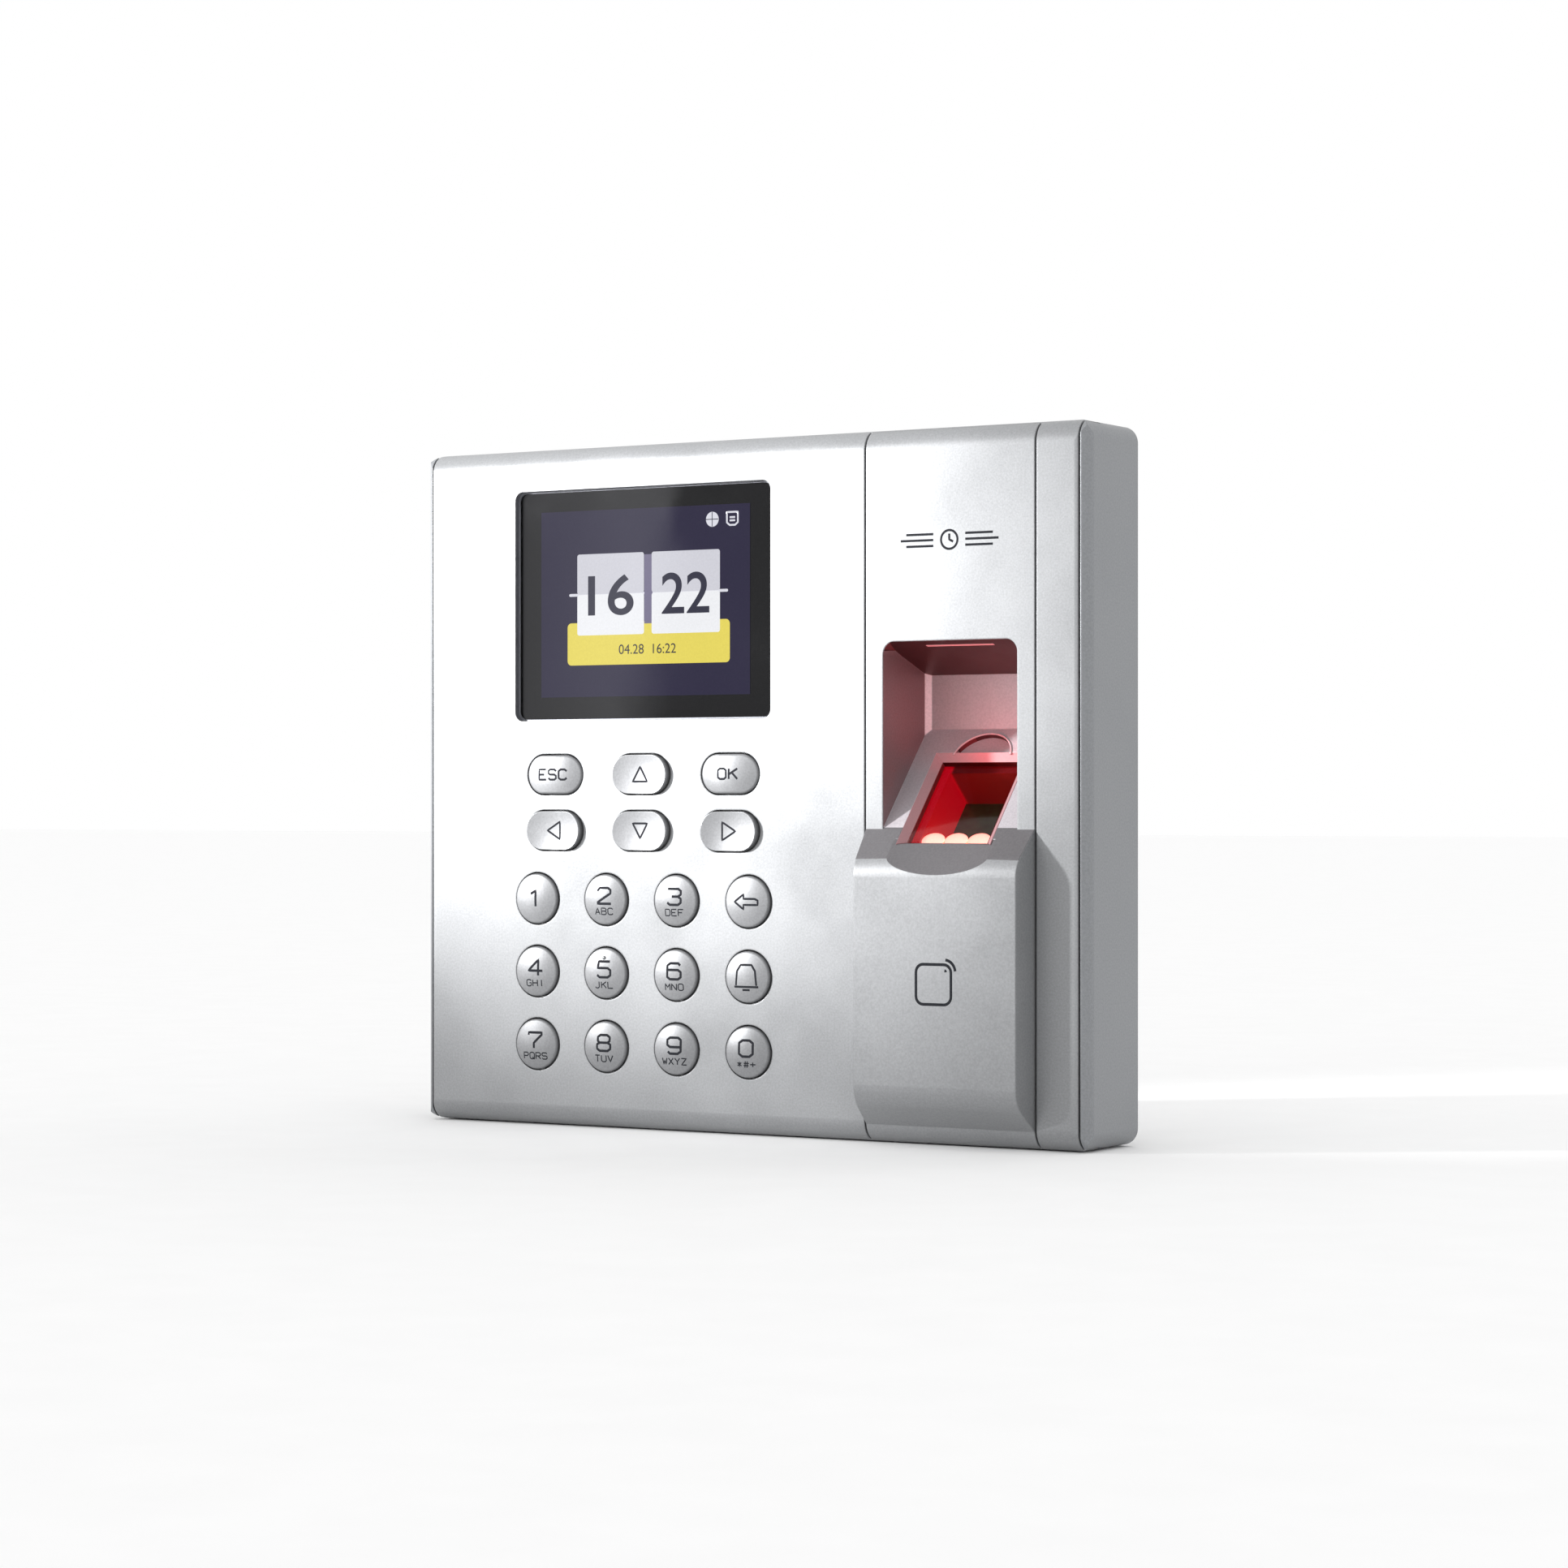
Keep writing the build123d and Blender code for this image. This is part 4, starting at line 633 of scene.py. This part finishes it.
for name, runs, width, height in (
    ("key_up", TRIANGLE_UP, 3.4 * MM, 2.9 * MM),
    ("key_down", TRIANGLE_DOWN, 3.4 * MM, 2.9 * MM),
    ("key_left", TRIANGLE_LEFT, 3.0 * MM, 3.5 * MM),
    ("key_right", TRIANGLE_RIGHT, 3.0 * MM, 3.5 * MM),
):
    x0, z0, surface = key_face(name, dished=True)
    strokes = drawn(runs, width, height, x0, z0)
    printed("legend_" + name[4:], strokes, TRIANGLE_WEIGHT, surface, ink, name + "_cap")
for name, runs, width, height in (
    ("key_backspace", ARROW, 5.2 * MM, 2.9 * MM),
    ("key_bell", BELL, 5.4 * MM, 5.2 * MM),
):
    x0, z0, surface = key_face(name)
    strokes = drawn(runs, width, height, x0, z0)
    printed("legend_" + name[4:], strokes, SIGN_WEIGHT, surface, ink, name + "_cap")


def middle_key_dot():
    """The raised dot that marks the middle key."""
    x0, z0, surface = key_face("key_5")
    z = z0 + DOT_LIFT
    dot = bmesh.new()
    bmesh.ops.create_icosphere(dot, subdivisions=3, radius=DOT_RADIUS)
    bmesh.ops.scale(dot, vec=(1, 0.6, 1), verts=dot.verts)
    bmesh.ops.translate(dot, vec=(x0, surface(x0, z), z), verts=dot.verts)
    settle("middle_key_dot", dot, finishes["silver_keys"], "key_5_cap", smooth=True)


middle_key_dot()

# ---------------------------------------------------------------- marks on the column
lens_low, lens_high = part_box("display_lens")
column_low, column_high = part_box("finger_column")
pod_y = column_low[1]
face_y = lens_low[1]
column_x = (column_low[0] + column_high[0]) / 2


def flat(y):
    """A flat upright surface at this Y."""
    return lambda x, z: y


def ring(radius, x, z, start=0.0, end=2 * pi, count=28):
    """A run of points round part of a circle; a whole one comes back to its start."""
    points = []
    for step in range(count + 1):
        turn = start + (end - start) * step / count
        points.append((x + radius * cos(turn), z + radius * sin(turn)))
    if end - start > 1.99 * pi:
        points[-1] = points[0]
    return points


# the small clock with three bars each side, the outer bars shorter
MARK_Z, MARK_RADIUS, MARK_WEIGHT = 45.75 * MM, 1.75 * MM, 0.45 * MM
LONG_HAND, SHORT_HAND, HAND_DROP = 1.1 * MM, 0.8 * MM, 0.4 * MM
BAR_GAP, BAR_START, BAR_END, BAR_STEP = 1.1 * MM, 3.4 * MM, 10.4 * MM, 1.2 * MM
mark_strokes = [
    ring(MARK_RADIUS, column_x, MARK_Z),
    [
        (column_x, MARK_Z + LONG_HAND),
        (column_x, MARK_Z),
        (column_x + SHORT_HAND, MARK_Z - HAND_DROP),
    ],
]
for side in (-1, 1):
    for row in (-1, 0, 1):
        z = MARK_Z + row * BAR_GAP
        end = BAR_END - BAR_STEP * abs(row)
        mark_strokes.append([(column_x + side * BAR_START, z), (column_x + side * end, z)])
printed("clock_mark", mark_strokes, MARK_WEIGHT, flat(face_y), ink)

# the card drawn on the pod, with two waves at its upper right corner
CARD_Z, CARD_HALF, CARD_ROUND, CARD_WEIGHT = -36.7 * MM, 3.7 * MM, 1.5 * MM, 0.55 * MM
WAVE_OFFSET, WAVE_RADII, WAVE_TRIM = 2.3 * MM, (0.3 * MM, 2.3 * MM), 0.1
card_run = []
for corner, (sx, sz) in enumerate(((1, 1), (-1, 1), (-1, -1), (1, -1))):
    reach = CARD_HALF - CARD_ROUND
    start = corner * pi / 2
    card_run += ring(
        CARD_ROUND, column_x + sx * reach, CARD_Z + sz * reach, start, start + pi / 2, 6
    )
card_run.append(card_run[0])
card_strokes = [card_run]
for radius in WAVE_RADII:
    wave = ring(
        radius, column_x + WAVE_OFFSET, CARD_Z + WAVE_OFFSET, WAVE_TRIM, pi / 2 - WAVE_TRIM, 8
    )
    card_strokes.append(wave)
printed("card_mark", card_strokes, CARD_WEIGHT, flat(pod_y), ink)

# ---------------------------------------------------------------- lit screen inside the lens
lens_x = (lens_low[0] + lens_high[0]) / 2
lens_z = (lens_low[2] + lens_high[2]) / 2
LAYER_STEP = 0.05 * MM
# Y of each printed layer, from the lens's back towards the user
layer_y = [lens_high[1] - step * LAYER_STEP for step in range(1, 7)]
BORDER_EDGE, BORDER_CORNER = 0.15 * MM, 1.7 * MM
VIEW_WIDE, VIEW_HIGH, VIEW_LIFT = 48.96 * MM, 36.72 * MM, 0.25 * MM
plate(
    "screen_border",
    lens_high[0] - lens_low[0] - 2 * BORDER_EDGE,
    lens_high[2] - lens_low[2] - 2 * BORDER_EDGE,
    lens_x,
    layer_y[0],
    lens_z,
    screen_border,
    BORDER_CORNER,
)
field_glow = lit("screen_field", (0.022, 0.018, 0.05))
plate("screen_field", VIEW_WIDE, VIEW_HIGH, lens_x, layer_y[1], lens_z + VIEW_LIFT, field_glow)
card_low = lit("screen_card_low", (0.95, 0.96, 0.97))
card_high = lit("screen_card_high", (0.7, 0.7, 0.75))
yellow = lit("screen_bar", (0.87, 0.74, 0.12))
lilac = lit("screen_lilac", (0.2, 0.18, 0.28))
soft_white = lit("screen_white", (0.8, 0.8, 0.86))
digit_ink = lit("screen_digits", (0.035, 0.035, 0.06))

# the flip clock: two cards on an axle, a gap between them and a yellow bar below
clock_x = lens_x + 0.9 * MM
BAR_SIZE, BAR_Z, BAR_CORNER = (38.0 * MM, 8.35 * MM), 28.1 * MM, 0.9 * MM
AXLE_SIZE, AXLE_Z, AXLE_CORNER = (37.2 * MM, 0.55 * MM), 37.8 * MM, 0.25 * MM
GAP_SIZE, GAP_X, GAP_Z = (1.9 * MM, 13.5 * MM), -21.7 * MM, 38.6 * MM
CARD_LEFT, CARD_RIGHT, CARD_CORNER = -30.6 * MM, -13.0 * MM, 0.5 * MM
UPPER_SIZE, UPPER_Z = (15.8 * MM, 7.9 * MM), 41.85 * MM
LOWER_SIZE, LOWER_Z = (15.8 * MM, 8.0 * MM), 33.8 * MM
plate("screen_bar", *BAR_SIZE, clock_x, layer_y[2], BAR_Z, yellow, BAR_CORNER)
axle_y = layer_y[2] - LAYER_STEP / 5
plate("screen_axle", *AXLE_SIZE, clock_x, axle_y, AXLE_Z, soft_white, AXLE_CORNER)
plate("screen_gap", *GAP_SIZE, GAP_X, layer_y[3], GAP_Z, lilac)
for name, x in (("screen_card_left", CARD_LEFT), ("screen_card_right", CARD_RIGHT)):
    plate(name + "_high", *UPPER_SIZE, x, layer_y[4], UPPER_Z, card_high, CARD_CORNER)
    plate(name + "_low", *LOWER_SIZE, x, layer_y[4], LOWER_Z, card_low, CARD_CORNER)


def typed(name, text, height, x, z, thin=0.0, squeeze=1.0):
    """Plain digits as a thin flat mesh on the front layer, centred on x and z."""
    text_curve = bpy.data.curves.new(name + "_text", "FONT")
    text_curve.body = text
    text_curve.offset = thin
    text_curve.align_x = "CENTER"
    text_curve.align_y = "CENTER"
    shape = curve_shape(text_curve)
    lows = [min(v.co[i] for v in shape.verts) for i in (0, 1)]
    highs = [max(v.co[i] for v in shape.verts) for i in (0, 1)]
    middle = Vector(((lows[0] + highs[0]) / 2, (lows[1] + highs[1]) / 2, 0))
    scale = height / (highs[1] - lows[1])
    bmesh.ops.translate(shape, vec=-middle, verts=shape.verts)
    bmesh.ops.scale(shape, vec=(scale * squeeze, scale, 1), verts=shape.verts)
    place = Matrix.Translation((x, layer_y[5], z)) @ Matrix.Rotation(pi / 2, 4, "X")
    bmesh.ops.transform(shape, matrix=place, verts=shape.verts)
    bmesh.ops.remove_doubles(shape, verts=shape.verts, dist=1e-7)
    settle(name, shape, digit_ink)


HOUR_HIGH, HOUR_Z, HOUR_SHIFT = 8.0 * MM, 37.6 * MM, 0.1 * MM
DATE_HIGH, DATE_Z = 1.9 * MM, 26.9 * MM
typed("screen_hours", "16", HOUR_HIGH, CARD_LEFT + HOUR_SHIFT, HOUR_Z, 0.012, 1.25)
typed("screen_minutes", "22", HOUR_HIGH, CARD_RIGHT, HOUR_Z, 0.01, 1.03)
typed("screen_date", "04.28  16:22", DATE_HIGH, clock_x, DATE_Z)

# the two small signs at the screen's upper right
GLOBE_X, TRAY_X, ICONS_Z = -6.9 * MM, -2.3 * MM, 51.6 * MM
GLOBE_RADIUS, GLOBE_REACH, GLOBE_WEIGHT = 1.45 * MM, 1.4 * MM, 0.16 * MM
TRAY_SIZE, TRAY_WEIGHT = 2.5 * MM, 0.36 * MM
disc("screen_globe", GLOBE_RADIUS, GLOBE_X, layer_y[2], ICONS_Z, soft_white)
globe_lines = [
    [(GLOBE_X - GLOBE_REACH, ICONS_Z), (GLOBE_X + GLOBE_REACH, ICONS_Z)],
    [(GLOBE_X, ICONS_Z - GLOBE_REACH), (GLOBE_X, ICONS_Z + GLOBE_REACH)],
]
printed("screen_globe_lines", globe_lines, GLOBE_WEIGHT, flat(layer_y[3]), digit_ink)
TRAY = [
    [(-1, -0.6), (-1, 1), (1, 1), (1, -0.6), (0.5, -1), (-0.5, -1), (-1, -0.6)],
    [(-0.5, 0.2), (0.5, 0.2)],
    [(-0.5, -0.3), (0.5, -0.3)],
]
tray_lines = drawn(TRAY, TRAY_SIZE, TRAY_SIZE, TRAY_X, ICONS_Z)
printed("screen_tray", tray_lines, TRAY_WEIGHT, flat(layer_y[2]), soft_white)

# ---------------------------------------------------------------- round the sensor glass
tilt = radians(42)
WINDOW_WIDE, WINDOW_LONG = 17.3 * MM, 20.4 * MM
RIM_WIDE, RIM_STEP = 1.4 * MM, 1.2 * MM
RAMP_DEEP, RAMP_DOWN = 6.1 * MM, 3.1 * MM
ramp_origin = Vector(
    (column_x, face_y + RAMP_DEEP - RIM_STEP * cos(tilt), RIM_STEP * sin(tilt) - RAMP_DOWN)
)
ramp_up = Vector((0, sin(tilt), cos(tilt)))
ramp_out = Vector((0, -cos(tilt), sin(tilt)))


def on_ramp(u, v, rise):
    """A point across, up and out from the middle of the finger ramp."""
    return ramp_origin + Vector((u, 0, 0)) + ramp_up * v + ramp_out * rise


def painted_rim_glow():
    """A thin skin with a painted pink glow on the slanted rim round the glass, open at the foot,
    where the finger comes in.
    """
    skin, side_gap, rim_gap = 0.06 * MM, 0.05 * MM, 0.1 * MM
    half_wide, half_long = WINDOW_WIDE / 2, WINDOW_LONG / 2
    rim = bmesh.new()
    rings = []
    for grow, rise in (
        (-side_gap, skin - RIM_STEP),
        (RIM_WIDE - rim_gap, skin),
        (RIM_WIDE, -skin),
        (0.0, -skin - RIM_STEP),
    ):
        corners = []
        for sx, sy in ((-1, -1), (-1, 1), (1, 1), (1, -1)):
            place = on_ramp(sx * (half_wide + grow), sy * (half_long + grow), rise)
            corners.append(rim.verts.new(place))
        rings.append(corners)
    for first, second in zip(rings, rings[1:] + rings[:1]):
        for corner in range(3):
            rim.faces.new(
                (first[corner], first[corner + 1], second[corner + 1], second[corner])
            )
    rim.faces.new([corners[0] for corners in rings][::-1])
    rim.faces.new([corners[3] for corners in rings])
    # painted red light on the rim, as if lit by the sensor's lamps
    glow = finish("rim_light", (0.27, 0.16, 0.17), rough=0.5, glow=0.1, glow_colour=(1, 0.42, 0.45))
    settle("painted_rim_glow", rim, glow)


def tip_rest_highlight():
    """A painted highlight: a thin glowing line along the curved edge above the glass, where the
    fingertip stops.
    """
    radius, height, thick, lift = 6.2 * MM, 10.2 * MM, 0.2 * MM, 0.02 * MM
    curve = round_line_curve("tip_rest_curve", thick, 2)
    places = []
    for step in range(25):
        angle = radians(8 + step * 164 / 24)
        places.append(on_ramp(radius * cos(angle), height + radius * sin(angle), lift))
    add_line(curve, places)
    edge = curve_shape(curve)
    bmesh.ops.remove_doubles(edge, verts=edge.verts, dist=1e-7)
    # a pinkish painted highlight that glows though it is no lamp
    glow = finish("tip_rest_painted_highlight", (0.3, 0.25, 0.26), rough=0.3, glow=0.1, glow_colour=(1, 0.6, 0.62))
    settle("tip_rest_highlight", edge, glow, smooth=True)


def lamp_lenses():
    """Three small lit domes in the well, near the foot of the glass."""
    size, spacing, foot = (2.45 * MM, 1.8 * MM, 0.55 * MM), 4.9 * MM, -7.6 * MM
    depth = RIM_STEP + 2.2 * MM
    glow = finish("lamp_lens", (1.0, 0.6, 0.4), rough=0.4, glow=1.0)
    nodes, links = glow.node_tree.nodes, glow.node_tree.links
    facing = wire(nodes, links, "ShaderNodeLayerWeight", Blend=0.35).outputs["Facing"]
    shade = tinted(nodes, links, facing, (2.2, 2.4, 2.0), (1.5, 0.3, 0.2))
    links.new(shade, nodes["Principled BSDF"].inputs["Emission Color"])
    turn = Matrix(((1, 0, 0), (0, ramp_up.y, ramp_out.y), (0, ramp_up.z, ramp_out.z))).to_4x4()
    for index in (-1, 0, 1):
        lamp = bmesh.new()
        bmesh.ops.create_uvsphere(lamp, u_segments=24, v_segments=14, radius=1)
        bmesh.ops.scale(lamp, vec=size, verts=lamp.verts)
        middle = on_ramp(index * spacing, foot, -depth)
        place = Matrix.Translation(middle) @ turn
        bmesh.ops.transform(lamp, matrix=place, verts=lamp.verts)
        settle("lamp_lens_" + str(index + 2), lamp, glow, smooth=True)


def roof_light_slot():
    """The thin lit slot that lies along the recess's sloping roof."""
    size, shift, depth = (14.3 * MM, 0.7 * MM, 0.06 * MM), 0.9 * MM, 2.6 * MM
    roof_top, roof_drop, roof_run = 27.1 * MM, 5.9 * MM, 17.0 * MM
    slope = roof_drop / roof_run
    slot = bmesh.new()
    bmesh.ops.create_cube(slot, size=1.0)
    bmesh.ops.scale(slot, vec=size, verts=slot.verts)
    bmesh.ops.bevel(
        slot,
        geom=slot.edges[:],
        offset=0.02 * MM,
        segments=2,
        profile=0.5,
        affect="EDGES",
        material=-1,
    )
    place = Matrix.Translation((column_x + shift, face_y + depth, roof_top - slope * depth))
    turned = place @ Matrix.Rotation(-slope, 4, "X")
    bmesh.ops.transform(slot, matrix=turned, verts=slot.verts)
    settle("roof_light_slot", slot, finish("slot_glow", (0.5, 0.2, 0.21), glow=0.2))


painted_rim_glow()
tip_rest_highlight()
lamp_lenses()
roof_light_slot()

# ---------------------------------------------------------------- floor, light and camera
YAW = radians(31.64)
DISTANCE = 0.73835
AIM = Vector((10.145 * MM, face_y, -2.971 * MM))
SENSOR_WIDE, LENS_LENGTH = 36, 88.92056
LENS_SHIFT = 0.01128364

camera_data = bpy.data.cameras.new("camera")
camera_data.sensor_width = SENSOR_WIDE
camera_data.lens = LENS_LENGTH
camera_data.shift_y = LENS_SHIFT
camera_data.clip_start = 0.02
camera = bpy.data.objects.new("camera", camera_data)
camera.location = AIM + Vector((DISTANCE * sin(YAW), -DISTANCE * cos(YAW), 0))
camera.rotation_euler = (pi / 2, 0, YAW)
bpy.context.scene.collection.objects.link(camera)
bpy.context.scene.camera = camera

FLOOR_HALF, FLOOR_GAP = 6, 0.2 * MM
floor_mesh = bpy.data.meshes.new("floor")
floor_shape = bmesh.new()
bmesh.ops.create_grid(floor_shape, x_segments=1, y_segments=1, size=FLOOR_HALF)
floor_z = cad_box[0][2] - FLOOR_GAP
bmesh.ops.translate(floor_shape, vec=(0, 0, floor_z), verts=floor_shape.verts)
floor_shape.to_mesh(floor_mesh)
floor_shape.free()
floor_paint = finish("floor_pale", (0.97, 0.97, 0.97), rough=0.9, grain=80, swing=0.01)
floor_mesh.materials.append(floor_paint)
floor = bpy.data.objects.new("floor", floor_mesh)
bpy.context.scene.collection.objects.link(floor)

world = bpy.data.worlds.new("studio")
world.use_nodes = True
bpy.context.scene.world = world
sky = world.node_tree.nodes["Background"]
sky.inputs["Color"].default_value = (1, 1, 1, 1)
sky.inputs["Strength"].default_value = 1.0
bpy.context.scene.view_settings.view_transform = "Standard"

# the lamp at the left that brightens the face's upper left part
KEY_PLACE, KEY_AIM = Vector((-0.5, -0.45, 0.15)), Vector((-0.028, face_y, 0.034))
spot_data = bpy.data.lights.new("key_light", "SPOT")
spot_data.energy = 55
spot_data.spot_size = radians(19)
spot_data.spot_blend = 1.0
spot_data.shadow_soft_size = 0.03
spot = bpy.data.objects.new("key_light", spot_data)
spot.location = KEY_PLACE
spot.rotation_euler = (KEY_AIM - KEY_PLACE).to_track_quat("-Z", "Y").to_euler()
bpy.context.scene.collection.objects.link(spot)

# the sensor's own red light on the walls of its recess
glow_data = bpy.data.lights.new("recess_glow", "AREA")
glow_data.color = (1.0, 0.05, 0.07)
glow_data.energy = 0.0035
glow_data.size = 9 * MM
glow = bpy.data.objects.new("recess_glow", glow_data)
glow.location = (column_x + 3 * MM, face_y + 4 * MM, 5 * MM)
glow_aim = Vector((0, 0.45, 1))
glow.rotation_euler = glow_aim.to_track_quat("-Z", "Y").to_euler()
glow.visible_camera = False
glow.visible_glossy = False
bpy.context.scene.collection.objects.link(glow)

# a soft card at the left whose slanted edge shows in the lens
EDGE_UPPER, EDGE_LOWER = Vector((-0.2229, -0.3458, 0.0885)), Vector((-0.2367, -0.3458, 0.0222))
EDGE_EXTRA, CARD_WIDE = 0.08, Vector((-0.12, 0, 0))
DIM_X, BRIGHT_X, DIM_GLOW, BRIGHT_GLOW = -0.31, -0.225, 1.0, 4.6
card_shape = bmesh.new()
along = (EDGE_UPPER - EDGE_LOWER).normalized()
corners = [EDGE_LOWER - along * EDGE_EXTRA, EDGE_UPPER + along * EDGE_EXTRA]
corners += [corners[1] + CARD_WIDE, corners[0] + CARD_WIDE]
card_shape.faces.new([card_shape.verts.new(corner) for corner in corners])
bmesh.ops.subdivide_edges(card_shape, edges=card_shape.edges[:], cuts=2, use_grid_fill=True)
card_mesh = bpy.data.meshes.new("glare_card")
card_shape.to_mesh(card_mesh)
card_shape.free()
card = bpy.data.objects.new("glare_card", card_mesh)
bpy.context.scene.collection.objects.link(card)
card_paper = bpy.data.materials.new("card_paper")
card_paper.use_nodes = True
card_nodes, card_links = card_paper.node_tree.nodes, card_paper.node_tree.links
card_where = card_nodes.new("ShaderNodeTexCoord").outputs["Object"]
card_split = wire(card_nodes, card_links, "ShaderNodeSeparateXYZ", Vector=card_where)
card_ramp = wire(card_nodes, card_links, "ShaderNodeMapRange", Value=card_split.outputs["X"])
card_ramp.inputs["From Min"].default_value = DIM_X
card_ramp.inputs["From Max"].default_value = BRIGHT_X
card_ramp.inputs["To Min"].default_value = DIM_GLOW
card_ramp.inputs["To Max"].default_value = BRIGHT_GLOW
card_glow = wire(card_nodes, card_links, "ShaderNodeEmission", Strength=card_ramp.outputs[0])
card_links.new(card_glow.outputs[0], card_nodes["Material Output"].inputs["Surface"])
card_nodes.remove(card_nodes["Principled BSDF"])
card_mesh.materials.append(card_paper)
card.visible_camera = False
card.visible_diffuse = False
